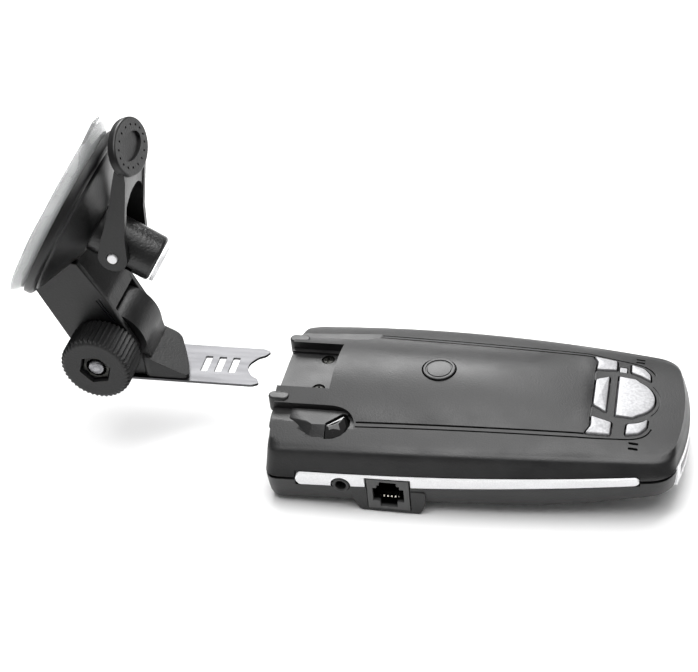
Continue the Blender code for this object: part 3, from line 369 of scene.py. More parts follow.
# %% Paint, lens, metal, board, label and vinyl
def silver_paint(name, dark, light, rough, flake=2600.0):
    mat, nodes, links, shader, place = start_material(name)
    flakes = noise(nodes, links, place, flake, 2.0)
    links.new(ramp(nodes, links, flakes, dark, light), shader.inputs["Base Color"])
    links.new(ramp(nodes, links, noise(nodes, links, place, 60.0), (rough - 0.05,) * 3, (rough + 0.06,) * 3),
              shader.inputs["Roughness"])
    shader.inputs["Metallic"].default_value = 0.25
    bump(nodes, links, shader, flakes, 0.3, 0.02)
    return mat


def metal(name, dark, light, rough, stretch, scale=700.0, metallic=1.0):
    mat, nodes, links, shader, place = start_material(name)
    lines = noise(nodes, links, place, scale, 5.0, stretch)
    links.new(ramp(nodes, links, lines, dark, light), shader.inputs["Base Color"])
    links.new(ramp(nodes, links, lines, (rough - 0.07,) * 3, (rough + 0.10,) * 3), shader.inputs["Roughness"])
    shader.inputs["Metallic"].default_value = metallic
    bump(nodes, links, shader, lines, 0.25, 0.01)
    return mat


def lens(name):
    mat, nodes, links, shader, place = start_material(name)
    links.new(ramp(nodes, links, noise(nodes, links, place, 120.0), (0.004,) * 3, (0.010,) * 3),
              shader.inputs["Base Color"])
    links.new(ramp(nodes, links, noise(nodes, links, place, 300.0), (0.03,) * 3, (0.08,) * 3),
              shader.inputs["Roughness"])
    shader.inputs["Coat Weight"].default_value = 0.6
    return mat


def vinyl(name):
    mat, nodes, links, shader, place = start_material(name)
    ripple = noise(nodes, links, place, 55.0, 2.0)
    links.new(ramp(nodes, links, ripple, (0.70, 0.71, 0.71), (0.86, 0.87, 0.87)), shader.inputs["Base Color"])
    links.new(ramp(nodes, links, ripple, (0.10,) * 3, (0.24,) * 3), shader.inputs["Roughness"])
    shader.inputs["Transmission Weight"].default_value = 0.72
    shader.inputs["IOR"].default_value = 1.38
    bump(nodes, links, shader, ripple, 0.5, 0.25)
    return mat


trim_silver = silver_paint("trim_paint", (0.80, 0.80, 0.81), (0.88, 0.88, 0.89), 0.38)
key_silver = silver_paint("key_paint", (0.33, 0.33, 0.34), (0.45, 0.45, 0.46), 0.46, 1300.0)
indicator_grey = silver_paint("indicator_plastic", (0.34, 0.34, 0.35), (0.44, 0.44, 0.45), 0.30)
label_film = silver_paint("label_film", (0.52, 0.52, 0.53), (0.62, 0.62, 0.63), 0.55, 900.0)
steel = metal("rolled_steel", (0.075, 0.075, 0.078), (0.11, 0.11, 0.115), 0.36, (0.10, 1.0, 1.0), 500.0)
bolt_steel = metal("bolt_steel", (0.16, 0.16, 0.17), (0.34, 0.34, 0.35), 0.30, (1.0, 1.0, 1.0))
dark_steel = metal("blackened_steel", (0.02, 0.02, 0.02), (0.06, 0.06, 0.055), 0.40, (1.0, 1.0, 1.0))
cast_alloy = metal("cast_alloy", (0.42, 0.42, 0.44), (0.60, 0.60, 0.62), 0.48, (1.0, 1.0, 1.0), 400.0)
contact_metal = metal("contact_plating", (0.78, 0.74, 0.62), (0.95, 0.92, 0.84), 0.20, (1.0, 0.1, 1.0))
board_green = plastic("solder_resist", (0.010, 0.11, 0.045), (0.020, 0.18, 0.075), 0.42, 500.0, 0.04, 400.0)
dark_lens = lens("polished_lens")
clear_vinyl = vinyl("pad_vinyl")

slot_finish = {
    "case_black": case_black, "silver_trim": trim_silver, "dark_lens": dark_lens,
    "indicator_window": indicator_grey, "silver_key": key_silver, "circuit_board": board_green,
    "key_mat": key_rubber, "cast_alloy": cast_alloy, "component_black": chip_black, "jack_black": jack_black,
    "gilt_contact": contact_metal, "bright_steel": steel, "dark_steel": dark_steel, "blank_label": label_film,
    "mount_black": mount_black, "clear_pad": clear_vinyl,
}
slot_of = {part["node"]: part["material_slot"] for part in frame["record"]["subparts"]}
for node_name, node in frame["nodes"].items():
    node.data.materials.clear()
    node.data.materials.append(slot_finish[slot_of[node_name]])
print("finishes set on", len(slot_of), "CAD nodes")

# %% [markdown]
# ## The case's form as functions
# The case has no straight sides: it narrows towards the driver's end, the seam climbs, and the top panel
# is crowned. Such a form is easiest to hold as a few height and width functions. Every later piece that
# sits on the case, such as a key or a trim strip, asks the same functions where the surface is, so it
# always fits.

# %% Form functions, in millimetres
HALF_LENGTH, HALF_WIDTH, SEAM, WALL, GAP = 63.5, 35.0, 13.0, 2.0, 0.3
PANEL_START, PANEL_END = 26.0, 97.0


def station(x):
    """Distance from the front end."""
    return x + HALF_LENGTH


def half_width(x):
    return HALF_WIDTH - max(0.0, station(x) - 20.0) ** 2 / 1430.0


def front_x(y):
    return -HALF_LENGTH - 2.2 * (1.0 - (y / HALF_WIDTH) ** 4)


def rear_x(y):
    return HALF_LENGTH + 0.8 - 0.0066 * y * y


def seam_z(x):
    return SEAM - 1.7 + 0.038 * station(x)


def shoulder_z(x):
    return SEAM + 9.2 - 1.9 * ((station(x) - 62.0) / 62.0) ** 2


def deck_z(x, y):
    centre = SEAM + 12.8 - 3.8 * (max(0.0, station(x) - 96.0) / 31.0) ** 0.75
    reach = min(1.0, abs(y) / (half_width(x) - 4.4))
    return centre - (centre - shoulder_z(x)) * reach ** 3.2


def panel_half(x):
    return 21.3 - 2.8 * max(0.0, station(x) - PANEL_START) / 70.0


def crown_z(x):
    return SEAM + 17.6 - 4.9 * (max(0.0, station(x) - 45.0) / 52.0) ** 1.8


def top_z(x, y):
    """Height of the top: the panel's crown, or the deck beside and behind it."""
    half = panel_half(x)
    if station(x) >= PANEL_END or abs(y) >= half:
        return deck_z(x, y)
    edge = deck_z(x, half)
    return max(deck_z(x, y), edge + (crown_z(x) - edge) * (1.0 - (y / half) ** 2))


def side_low_z(x):
    s = station(x)
    return SEAM - 12.0 + 2.4 * min(1.0, s / 60.0) + 5.8 * max(0.0, (s - 78.0) / 49.0) ** 1.5


def smooth_step(t):
    t = min(1.0, max(0.0, t))
    return t * t * (3.0 - 2.0 * t)


BELLY_INSET = 12.0      # this far in from the edge, the belly is flat


def belly_z(x, inset):
    ramp_up = smooth_step((inset - 4.0) / 6.0) * (1.0 - smooth_step((station(x) - 104.0) / 14.0))
    return side_low_z(x) * (1.0 - ramp_up)


def case_outline(draft, wall=0.0, fine=1):
    """Plan outline, far half from front to rear and then the near half back."""
    side, front = draft + wall, 0.32 * draft + wall
    front_r, rear_r = max(1.5, 4.6 - 0.6 * wall), max(2.5, 6.5 - 0.8 * wall)
    front_edge = HALF_WIDTH - side - front_r
    n_front, n_corner, n_side, n_rear = 5 * fine, 4 * fine, 12 * fine, 3 * fine
    across = [front_edge * (i + 0.5) / (n_front - 0.5) for i in range(n_front)]
    half = [(front_x(y) + front, y) for y in across]
    corner = (front_x(front_edge) + front + 0.3, half_width(-HALF_LENGTH) - side)
    side_start = corner[0] + front_r
    half += bezier(half[-1], corner, (side_start, corner[1]), n_corner)
    side_end = rear_x(24.0) - front - rear_r
    for i in range(n_side + 1):
        x = side_start + (side_end - side_start) * i / n_side
        half.append((x, half_width(x) - side))
    rear_edge = half_width(side_end) - side - rear_r
    rear_start = (rear_x(rear_edge) - front, rear_edge)
    corner = (rear_start[0] - 1.2, half_width(side_end + rear_r) - side)
    half += bezier(half[-1], corner, rear_start, n_corner) + [rear_start]
    for i in range(1, n_rear + 1):
        y = rear_edge * (1.0 - i / (n_rear + 0.6))
        half.append((rear_x(y) - front, y))
    return half + [(x, -y) for x, y in reversed(half)]


print("case length %.1f mm, width %.1f mm" % (rear_x(0) - front_x(0), 2 * HALF_WIDTH))

# %% [markdown]
# ## Skinning the case
# A shell is made as a stack of closed rings: they climb the flank, turn over the shoulder on a small
# radius and then draw in to the centre line, and a second stack inside gives the wall. Rings follow the
# rounded corners without a pinch, which a flat grid would not.

# %% Rings and shells
def shell_from(name, outer, inner):
    """Outer rings from the centre line outwards, then inner rings back to it."""
    loops = list(reversed(outer)) + inner
    n = len(loops[0])
    faces = []
    for k in range(len(loops) - 1):
        faces += band(k * n, (k + 1) * n, n)
    for base in (0, (len(loops) - 1) * n):
        faces += [(base + i, base + i + 1, base + n - 2 - i, base + n - 1 - i) for i in range(n // 2 - 1)]
    return solid(name, [p for loop in loops for p in loop], faces)


def drawn_in(loop, keep, height):
    """A ring drawn in towards the centre line."""
    points = [(x * (0.35 * keep + 0.65), y * keep) for x, y, _ in loop]
    return [(x, y, height(x, y)) for x, y in points]


def rebate(fine, sign):
    """A small step at the seam, so that the two shells meet in a dark line."""
    levels = ((0.75, GAP / 2), (0.75, 0.42), (0.10, 0.46), (0.0, 0.62))
    return [[(x, y, seam_z(x) + sign * up) for x, y in case_outline(draft, 0.0, fine)]
            for draft, up in levels]


def top_rings(wall, fine, draws):
    flank = ((0.0, 0.0), (0.85, 0.23), (1.7, 0.45), (2.5, 0.67), (3.1, 0.83))
    roof = lambda x, y: top_z(x, y) - wall
    rise = lambda x, share: seam_z(x) + GAP / 2 + (shoulder_z(x) - seam_z(x)) * share * (1.0 - 0.06 * wall)
    rings = [[(x, y, rise(x, share)) for x, y in case_outline(draft, wall, fine)] for draft, share in flank]
    if wall == 0.0:
        rings = rebate(fine, 1.0) + rings[1:]
    for i in range(1, 6):
        t = i / 5.0
        draft = (1 - t) ** 2 * 3.1 + 2 * t * (1 - t) * 4.0 + t * t * 5.6
        ring = []
        for x, y in case_outline(draft, wall, fine):
            knee = shoulder_z(x) + 0.1 - wall
            ring.append((x, y, (1 - t) ** 2 * rise(x, 0.83) + 2 * t * (1 - t) * knee + t * t * roof(x, y)))
        rings.append(ring)
    base = rings[-1]
    return rings + [drawn_in(base, 1.0 - 0.985 * (i / draws) ** 0.9, roof) for i in range(1, draws + 1)]


def bottom_rings(wall, fine, draws):
    flank = ((0.0, 0.0), (0.2, 0.25), (0.6, 0.5), (1.2, 0.75), (2.0, 0.92))
    fall = lambda x, share: seam_z(x) - GAP / 2 + (side_low_z(x) - seam_z(x)) * share * (1.0 - 0.1 * wall)
    rings = [[(x, y, fall(x, share)) for x, y in case_outline(draft, wall, fine)] for draft, share in flank]
    if wall == 0.0:
        rings = rebate(fine, -1.0) + rings[1:]
    for draft in (3.1, 4.6, 6.0, 7.5, 9.0, 10.5):
        rings.append([(x, y, belly_z(x, draft) + wall) for x, y in case_outline(draft, wall, fine)])
    last = rings[-1]
    level = lambda x, y: belly_z(x, BELLY_INSET) + wall
    return rings + [drawn_in(last, 1.0 - 0.985 * i / draws, level) for i in range(1, draws + 1)]


def coarse(name, x0, x1, y0, y1, z0, z1):
    return prism(name, rectangle(x0, x1, y0, y1), z0, z1)


def bar(name, points):
    """Skins a bar whose sections have four points each."""
    faces = []
    for a in range(0, len(points) - 4, 4):
        b = a + 4
        faces += [(a + k, a + m, b + m, b + k) for k, m in ((0, 1), (1, 3), (3, 2), (2, 0))]
    last = len(points) - 4
    return solid(name, points, faces + [(0, 1, 3, 2), (last, last + 1, last + 3, last + 2)])


def side_panel(name, side, lo, hi, z0, z1, proud, thick, steps=48):
    """A plate that follows an end or a side of the case."""
    points = []
    for i in range(steps + 1):
        along = lo + (hi - lo) * i / steps
        levels = (z0(along) if callable(z0) else z0, z1(along) if callable(z1) else z1)
        for offset in (proud, proud - thick):
            for z in levels:
                if side == "front":
                    points.append((front_x(along) - offset, along, z))
                elif side == "rear":
                    points.append((rear_x(along) + offset, along, z))
                else:
                    points.append((along, side * (half_width(along) + offset), z))
    return bar(name, points)


# %% [markdown]
# ## What is cut into the top
# The top carries the pocket for the tongue, the two recesses beside it, the button, the key openings, the
# sound slots and the fine grooves along the panel's edges. Openings are plain prisms pushed right
# through. A groove's cutter follows the surface instead, so it keeps one depth over the crown. All the
# cutters are gathered first, and the grooves are kept apart from the openings.

# %% Places shared by the top's pieces
def at_station(points):
    return [(s - HALF_LENGTH, y) for s, y in points]


def mirrored(points):
    return [(x, -y) for x, y in reversed(points)]


key_front = at_station([(96.9, 18.4), (98.4, 15.2), (98.2, 11.0), (104.6, 12.4), (104.4, 17.6)])
key_rear = at_station([(108.8, 16.8), (109.0, 12.2), (112.4, 11.0), (115.3, 9.0), (115.0, 12.6),
                       (113.0, 15.4)])
key_bar = at_station([(98.4, -6.2), (102.6, -8.6), (102.6, 8.6), (98.4, 6.2)])
key_main = at_station([(105.4, -9.4), (110.6, -9.2)] + arc((108.3, 0.0), 8.7, -62, 62, 28)
                      + [(110.6, 9.2), (105.4, 9.4)])
key_outlines = {
    "key_front_far": rounded(key_front, 0.7, 4), "key_front_near": rounded(mirrored(key_front), 0.7, 4),
    "key_rear_far": rounded(key_rear, 0.8, 4), "key_rear_near": rounded(mirrored(key_rear), 0.8, 4),
    "key_bar": rounded(key_bar, 0.8, 4), "key_main": key_main,
}
lens_start, lens_end = at_station([(18.2, -23.4), (22.2, -19.0)])
lens_curve = at_station([(18.2, -27.4), (20.6, -27.2), (22.8, -26.2), (24.3, -24.6), (25.0, -22.4),
                         (24.7, -20.2), (23.6, -18.8)])
lens_base = [lens_start] + lens_curve + [lens_end]
BUTTON_X, BUTTON_RADIUS = 50.0 - HALF_LENGTH, 5.2
POD_TOP, LENS_LOW = SEAM + 12.2, SEAM + 8.3
RECESS_INNER = 16.7                               # where the recess beside the pocket starts, in y
POCKET_SCREW_X, POCKET_SCREW_SIDES = -51.6, (-7.3, 7.3)
ABOVE = 40.0                                      # cutters end here, well clear of the case


def recess_outline(side):
    x0, x1, inner = -HALF_LENGTH - 6.0, PANEL_START - HALF_LENGTH + 0.6, RECESS_INNER
    points = [(x0, inner), (x1 - 9.0, inner)]
    points += bezier((x1 - 9.0, inner), (x1 - 0.5, inner), (x1, inner + 6.0), 14)
    return [(x, side * y) for x, y in points + [(x1, inner + 9.0), (x0, inner + 9.0)]]


def recess_floor(x, y):
    return SEAM + 11.2 - 0.04 * (abs(y) - RECESS_INNER)


def ribbon(name, path, width, depth):
    """A groove cutter that follows the top at one depth; path is a list of plan points."""
    points = []
    for i, (x, y) in enumerate(path):
        ahead, behind = path[min(i + 1, len(path) - 1)], path[max(i - 1, 0)]
        along = (Vector(ahead) - Vector(behind)).normalized()
        across = Vector((-along.y, along.x)) * width / 2
        z = top_z(x, y)
        for sign in (-1, 1):
            for level in (z - depth, z + 1.2):
                points.append((x + sign * across.x, y + sign * across.y, level))
    return bar(name, points)


def between(points, step=1.5):
    """Adds points along a polyline so that a groove can follow a curved surface."""
    path = [points[0]]
    for a, b in zip(points, points[1:]):
        n = max(1, round((Vector(b) - Vector(a)).length / step))
        path += [tuple(Vector(a).lerp(Vector(b), i / n)) for i in range(1, n + 1)]
    return path


# %% Cutters for the top
def trim_low(x):
    return seam_z(x) - 2.35 + 0.0095 * station(x)


def trim_high(x):
    return seam_z(x) + 2.35 - 0.0095 * station(x)


JACK_X, JACK_HALF, JACK_LOW, JACK_HIGH = -24.9, 6.6, 1.8, 13.7
EARPHONE_X, EARPHONE_Z = -39.7, 10.4
TRIM_START, TRIM_END = -54.0, 50.5


def side_tools():
    low = lambda x: trim_low(x) - GAP
    high = lambda x: trim_high(x) + GAP
    tools = [side_panel("trim_channel", side, TRIM_START - GAP, TRIM_END + GAP, low, high, 2.0, 3.3)
             for side in (-1, 1)]
    tools.append(coarse("jack_hole", JACK_X - JACK_HALF - GAP, JACK_X + JACK_HALF + GAP, -40.0, -20.0,
                        JACK_LOW - GAP, JACK_HIGH + GAP))
    tools.append(prism("earphone_hole", circle(3.0, 40, (EARPHONE_X, EARPHONE_Z)), -40.0, -25.0, "Y"))
    tools.append(side_panel("display_opening", "rear", -21.8, 21.8, SEAM - 4.3, SEAM + 3.7, 4.0, 7.6))
    return tools


def top_tools():
    tools = [
        coarse("pocket", -80.0, 16.7 - HALF_LENGTH, -11.2, 11.2, SEAM + 13.0, ABOVE),
        coarse("tongue_slot", -80.0, 36.5 - HALF_LENGTH, -9.8, 9.8, SEAM + 12.2, SEAM + 13.9),
        coarse("tooth_window", -44.0, -40.0, -2.6, 2.6, SEAM + 9.0, SEAM + 13.0),
        prism("lens_seat", grow(lens_base, GAP), LENS_LOW - GAP, ABOVE),
        prism("button_hole", circle(BUTTON_RADIUS + 0.35, 64, (BUTTON_X, 0.0)), SEAM + 9.0, ABOVE),
        prism("indicator_hole", rectangle(41.6, 44.4, 11.9, 15.1, 0.3, 3), SEAM + 4.0, ABOVE),
    ]
    tools += [prism(name + "_hole", grow(outline, 0.42), SEAM + 4.0, ABOVE)
              for name, outline in key_outlines.items()]
    for side in (-1, 1):
        for row in (-0.95, 0.95):
            y = side * 20.2 + row
            slot = rectangle(46.5, 49.5, y - 0.42, y + 0.42, 0.4, 4)
            tools.append(prism("sound_slot", slot, SEAM + 5.0, ABOVE))
    for y in POCKET_SCREW_SIDES:
        centre = (POCKET_SCREW_X, y)
        tools.append(prism("screw_hole", circle(1.3, 24, centre), SEAM + 8.0, SEAM + 13.0))
        tools.append(prism("screw_seat", circle(2.2, 32, centre), SEAM + 11.2, SEAM + 13.0))
    return tools


def groove_tools():
    """The panel's edge lines, the border lines outside them and the fine lines beside the keys."""
    start, stop = PANEL_START - HALF_LENGTH + 1.0, 33.2
    tools = []
    for side in (-1, 1):
        edge = [start + (stop - start) * i / 46 for i in range(47)]
        tools.append(ribbon("panel_groove", [(x, side * panel_half(x)) for x in edge], 0.60, 0.85))
        outer = [(27.0, 22.9), (60.0, 21.5), (88.0, 20.4), (96.0, 20.0), (104.0, 18.9), (109.0, 18.15)]
        bend = bezier((109.0, 18.15), (115.4, 17.2), (116.4, 12.6), 10)
        path = between(at_station([(s, side * y) for s, y in outer + bend + [(116.4, 12.6)]]))
        tools.append(ribbon("border_groove", path, 0.50, 0.60))
    arc_path = at_station(arc((107.6, 0.0), 10.9, -40, 40, 40))
    tools.append(ribbon("key_arc_groove", arc_path, 0.30, 0.25))
    for side in (-1, 1):
        link = at_station([(98.0, side * 11.0), (98.2, side * 6.2)])
        tools.append(ribbon("key_link_groove", between(link), 0.45, 0.50))
    return tools


print("cutters ready for", len(key_outlines), "keys")

# %% [markdown]
# ## The top shell
# The fine rings give a smooth skin. Stock for the pocket, the recesses and the screw bosses is joined
# inside, then the recesses are cut, the laser pod and the two front posts are added, and the rest is cut
# last. The grooves are cut in a Boolean of their own, because they cross many small faces.

# %% Pod, posts and stock
def hull(name, points):
    """The convex hull of millimetre points."""
    shape = bmesh.new()
    for x, y, z in points:
        shape.verts.new((x * MM, y * MM, z * MM))
    bmesh.ops.convex_hull(shape, input=shape.verts)
    bmesh.ops.delete(shape, geom=[v for v in shape.verts if not v.link_faces], context="VERTS")
    bmesh.ops.dissolve_limit(shape, angle_limit=math.radians(1.0), verts=shape.verts, edges=shape.edges)
    bmesh.ops.recalc_face_normals(shape, faces=shape.faces)
    mesh = bpy.data.meshes.new(name)
    shape.to_mesh(mesh)
    shape.free()
    obj = bpy.data.objects.new(name, mesh)
    bpy.context.scene.collection.objects.link(obj)
    return obj


def laser_pod():
    base = at_station([(5.8, -17.4), (5.6, -20.8), (12.4, -26.6), (14.0, -27.2), (20.0, -27.2), (24.0, -24.0),
                       (24.0, -17.4)])
    top = at_station([(7.4, -17.4), (11.4, -22.6), (13.6, -24.2), (18.2, -24.0), (21.8, -20.4),
                      (22.2, -17.4)])
    points = [(x, y, top_z(x, y) - 1.4) for x, y in base] + [(x, y, POD_TOP) for x, y in top]
    return soften(hull("laser_pod", points + [(x, y, deck_z(x, y)) for x, y in base]), 0.22, 2)


def front_post(side):
    y0, y1 = sorted((side * 12.7, side * 16.3))
    outline = rectangle(front_x(14.5) - 0.3, -59.2, y0, y1, 1.75, 8)
    return soften(prism("front_post", outline, SEAM + 9.0, SEAM + 14.9), 0.55, 4)


def recess_stock(side):
    y0, y1 = sorted((side * 12.0, side * 23.4))
    outline = rectangle(front_x(24.0) + 1.1, PANEL_START - HALF_LENGTH + 2.6, y0, y1)
    return prism("recess_stock", outline, SEAM + 8.4, lambda x, y: top_z(x, y) - 0.8)


screw_places = ((-52.0, -24.0), (-52.0, 24.0), (36.0, -19.5), (36.0, 19.5))


def screw_boss(x, y):
    return prism("screw_boss", circle(3.0, 24, (x, y)), seam_z(x) + 0.4, top_z(x, y) - 1.0)


# %% Build the top shell
top_shell = shell_from("case_top", top_rings(0.0, 4, 46), top_rings(WALL, 4, 8))
fuse(top_shell, coarse("pocket_stock", -62.9, -25.2, -12.6, 12.6, SEAM + 10.4, SEAM + 14.8),
     recess_stock(-1), recess_stock(1), *[screw_boss(x, y) for x, y in screw_places])
cut(top_shell, *[prism("recess", recess_outline(side), recess_floor, ABOVE) for side in (-1, 1)])
fuse(top_shell, laser_pod(), front_post(-1), front_post(1))
cut(top_shell, *top_tools(), *side_tools(),
    *[prism("pilot", circle(1.6, 16, (x, y)), SEAM - 8.0, seam_z(x) + 6.4) for x, y in screw_places])
cut(top_shell, *groove_tools())
finish_piece(smooth(top_shell, 28.0), "case", case_black, "case_black", "top_shell")

# %% [markdown]
# ## The bottom shell
# The lower half is shallower: its flank rolls under to a flat belly, and beside the phone socket it drops
# straight down in a block that holds the socket. It is skinned and cut in the same way as the top.

# %% Build the bottom shell
def jack_block(wall):
    x0, x1 = JACK_X - 11.8 + wall, JACK_X + 11.6 - wall
    outline = [(x0 + 2.6, wall), (x1 - 1.8, wall), (x1, 5.4), (x1, 9.4), (x0, 9.4), (x0, 4.6)]
    outline = outline if wall else rounded(outline, 1.2, 5)
    return prism("jack_block", outline, -HALF_WIDTH + 0.55 + wall, -18.0 - wall * 0.5, "Y")


bottom_shell = shell_from("case_bottom", bottom_rings(0.0, 4, 16), bottom_rings(WALL, 4, 4))
fuse(bottom_shell, soften(jack_block(0.0), 0.5, 3, 50.0))
cut(bottom_shell, jack_block(1.8))
lower_bosses = [prism("lower_boss", circle(3.0, 24, (x, y)), belly_z(x, BELLY_INSET) + 0.6, seam_z(x) - 0.4)
                for x, y in screw_places]
fuse(bottom_shell, *lower_bosses)
lower = [coarse("label_recess", -36.3, -3.7, -13.3, 13.3, -2.0, 0.5)]
lower += [prism("speaker_slot", rectangle(x - 0.6, x + 0.6, -7.0, 7.0, 0.55, 5), -2.0, 2.8)
          for x in (8.0, 11.0, 14.0, 17.0, 20.0)]
lower += [prism("screw_hole", circle(1.7, 24, (x, y)), -2.0, 20.0) for x, y in screw_places]
lower += [prism("screw_seat", circle(2.8, 32, (x, y)), -2.0, belly_z(x, BELLY_INSET) + 1.6)
          for x, y in screw_places]
lower.append(side_panel("front_opening", "front", -23.3, 23.3, 2.9, 9.3, 4.0, 6.0))
cut(bottom_shell, *lower, *side_tools())
finish_piece(smooth(bottom_shell, 28.0), "case", case_black, "case_black", "bottom_shell")

# %% [markdown]
# ## The silver side strips
# Each strip is a thin moulding in a channel along the seam. It tapers towards the driver's end, and its
# two ends are round. A rounded cross-section is swept along the side, and its height closes to a half
# circle at each end; the near strip is then bitten where the two sockets pass through it.

# %% Side strips
def side_strip(name, side):
    section = ((-1.0, -0.9), (-1.0, 0.0), (-0.90, 0.10), (-0.6, 0.18), (0.0, 0.20), (0.6, 0.18), (0.90, 0.10),
               (1.0, 0.0), (1.0, -0.9))
    places, loops = [], []
    for i in range(9):
        places.append(TRIM_START + 2.0 * (1.0 - math.cos(math.pi / 2 * i / 8)))
    places += [TRIM_START + 2.0 + (TRIM_END - TRIM_START - 4.0) * i / 60 for i in range(1, 60)]
    places += [TRIM_END - 2.0 * (1.0 - math.cos(math.pi / 2 * (8 - i) / 8)) for i in range(9)]
    for x in places:
        near_end = min(x - TRIM_START, TRIM_END - x)
        share = math.sqrt(max(0.02, 1.0 - (1.0 - min(1.0, near_end / 1.6)) ** 2))
        middle, half = (trim_low(x) + trim_high(x)) / 2, (trim_high(x) - trim_low(x)) / 2 * share
        loops.append([(x, side * (half_width(x) + out), middle + up * half) for up, out in section])
    return stacked(name, loops)


near_strip = side_strip("near_strip", -1)
socket_bite = coarse("socket_bite", JACK_X - JACK_HALF - 0.6, JACK_X + JACK_HALF + 0.6, -40.0, -30.0,
                     0.0, 14.3)
round_bite = prism("round_bite", circle(3.2, 48, (EARPHONE_X, EARPHONE_Z)), -40.0, -30.0, "Y")
cut(near_strip, socket_bite, round_bite)
finish_piece(smooth(near_strip, 50.0), "case", trim_silver, "silver_trim", "near_trim")
finish_piece(smooth(side_strip("far_strip", 1), 50.0), "case", trim_silver, "silver_trim", "far_trim")

# %% [markdown]
# ## Keys
# Six silver keys stand a little proud of the deck. Each has a straight skirt, a small chamfer and a top
# that follows the deck with a slight crown of its own, so a highlight rolls across it. They are stacked
# rings drawn in towards each key's middle.

# %% Keys
def key_cap(name, outline):
    cx, cy = sum(x for x, _ in outline) / len(outline), sum(y for _, y in outline) / len(outline)
    proud = 0.60
    outline = grow(outline, -0.15)
    loops = [[(x, y, SEAM + 7.2) for x, y in outline]]
    loops.append([(x, y, top_z(x, y) + proud - 0.35) for x, y in outline])
    for inset, drop in ((-0.08, 0.16), (-0.20, 0.05), (-0.38, 0.0)):
        loops.append([(x, y, top_z(x, y) + proud - drop) for x, y in grow(outline, inset)])
    edge = grow(outline, -0.38)
    for keep in (0.85, 0.65, 0.45, 0.25, 0.1):
        points = [(cx + (x - cx) * keep, cy + (y - cy) * keep) for x, y in edge]
        loops.append([(x, y, top_z(x, y) + proud + 0.22 * (1.0 - keep * keep)) for x, y in points])
    return stacked(name + "_cap", loops)


for key_name, key_outline in key_outlines.items():
    finish_piece(smooth(key_cap(key_name, key_outline), 40.0), key_name, key_silver, "silver_key", key_name)

indicator = soften(prism("indicator_lens", rectangle(41.9, 44.1, 12.2, 14.8, 0.2, 3), 19.4,
                         lambda x, y: top_z(x, y) - 0.05), 0.18, 2)
finish_piece(smooth(indicator), "case", indicator_grey, "indicator_window", "indicator_window")

# %% [markdown]
# ## Release button
# The round button over the latch lies flush with the panel. A turned profile gives it a slim raised rim
# and a shallow groove inside the rim, which is what catches the light as a ring.

# %% Release button
rim = BUTTON_RADIUS
button_profile = [(0.0, 13.4), (6.4, 13.4), (6.4, 14.2), (rim, 14.2), (rim, 17.45), (rim - 0.12, 17.66),
                  (rim - 0.35, 17.75), (rim - 0.8, 17.72), (rim - 0.95, 17.45), (rim - 1.3, 17.40),
                  (rim - 1.5, 17.62), (rim - 2.4, 17.70), (1.2, 17.75), (0.0, 17.75)]
button = turned("release_cap", button_profile, 96)
button.location = (BUTTON_X * MM, 0.0, SEAM * MM)
finish_piece(smooth(button, 40.0), "release", button_black, "case_black", "release_button")

# %% [markdown]
# ## Latch spring
# Under the latch plate a small coil spring pushes the button back up. It is a wire swept along a helix.
# One end stands on the case while the other follows the plate, so the coil gets shorter as the button
# goes down.

# %% Latch spring
def coil(name, centre, radius, wire, low, high, turns, sides=10):
    """A helix of wire with flat ends, standing between two heights."""
    count = turns * 28
    loops = []
    for i in range(count + 1):
        share = i / count
        angle = math.tau * turns * share
        out = Vector((math.cos(angle), math.sin(angle), 0.0))
        height = low + wire + (high - low - 2 * wire) * share
        middle_point = Vector((centre[0], centre[1], height)) + out * radius
        ring = [math.tau * k / sides for k in range(sides)]
        loops.append([tuple(middle_point + out * wire * math.cos(a) + Vector((0.0, 0.0, wire * math.sin(a))))
                      for a in ring])
    return stacked(name, loops)


spring_low, spring_high = (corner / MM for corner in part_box("latch_spring"))
spring_centre = (spring_low + spring_high) / 2
spring_wire = 0.28
spring_radius = (spring_high.x - spring_low.x) / 2 - spring_wire - 0.1
spring = coil("coil_spring", spring_centre, spring_radius, spring_wire, spring_low.z, spring_high.z, 4)
finish_piece(smooth(spring, 60.0, False), "case", bolt_steel, "bright_steel", "latch_spring")
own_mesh(spring)

# %% [markdown]
# ## Rear laser lens
# Behind the faceted pod sits a polished black lens, a quarter of a cone whose flat top meets the pod. The
# hull of two outlines makes it, and a narrow bevel gives the bright line along each edge.

# %% Rear lens
def smooth_path(points):
    """A denser outline through the points, by cutting each corner twice."""
    for _ in range(2):
        denser = []
        for a, b in zip(points, points[1:]):
            a, b = Vector(a), Vector(b)
            denser += [tuple(a.lerp(b, 0.25)), tuple(a.lerp(b, 0.75))]
        points = [points[0]] + denser + [points[-1]]
    return points


lens_foot = [lens_start] + smooth_path(lens_curve) + [lens_end]
lens_top = smooth_path(at_station([(18.2, -24.6), (20.0, -24.4), (21.6, -23.2), (22.8, -21.4),
                                   (23.2, -19.4)]))
lens_points = [(x, y, z) for x, y in lens_foot for z in (LENS_LOW, SEAM + 9.6)]
rear_lens = soften(hull("rear_lens", lens_points + [(x, y, POD_TOP) for x, y in lens_top]), 0.20, 3, 25.0)
finish_piece(smooth(rear_lens, 32.0, False), "case", dark_lens, "dark_lens", "rear_laser_lens")

# %% [markdown]
# ## The two sockets
# The phone socket is a grey-black block. Its mouth is a cross, because blocks fill its four corners, and
# six thin bright contacts rise inside. The earphone socket beside it is a short tube with a heavy round
# lip. The block is cut before its edges are softened, so the mouth's edges catch light too.

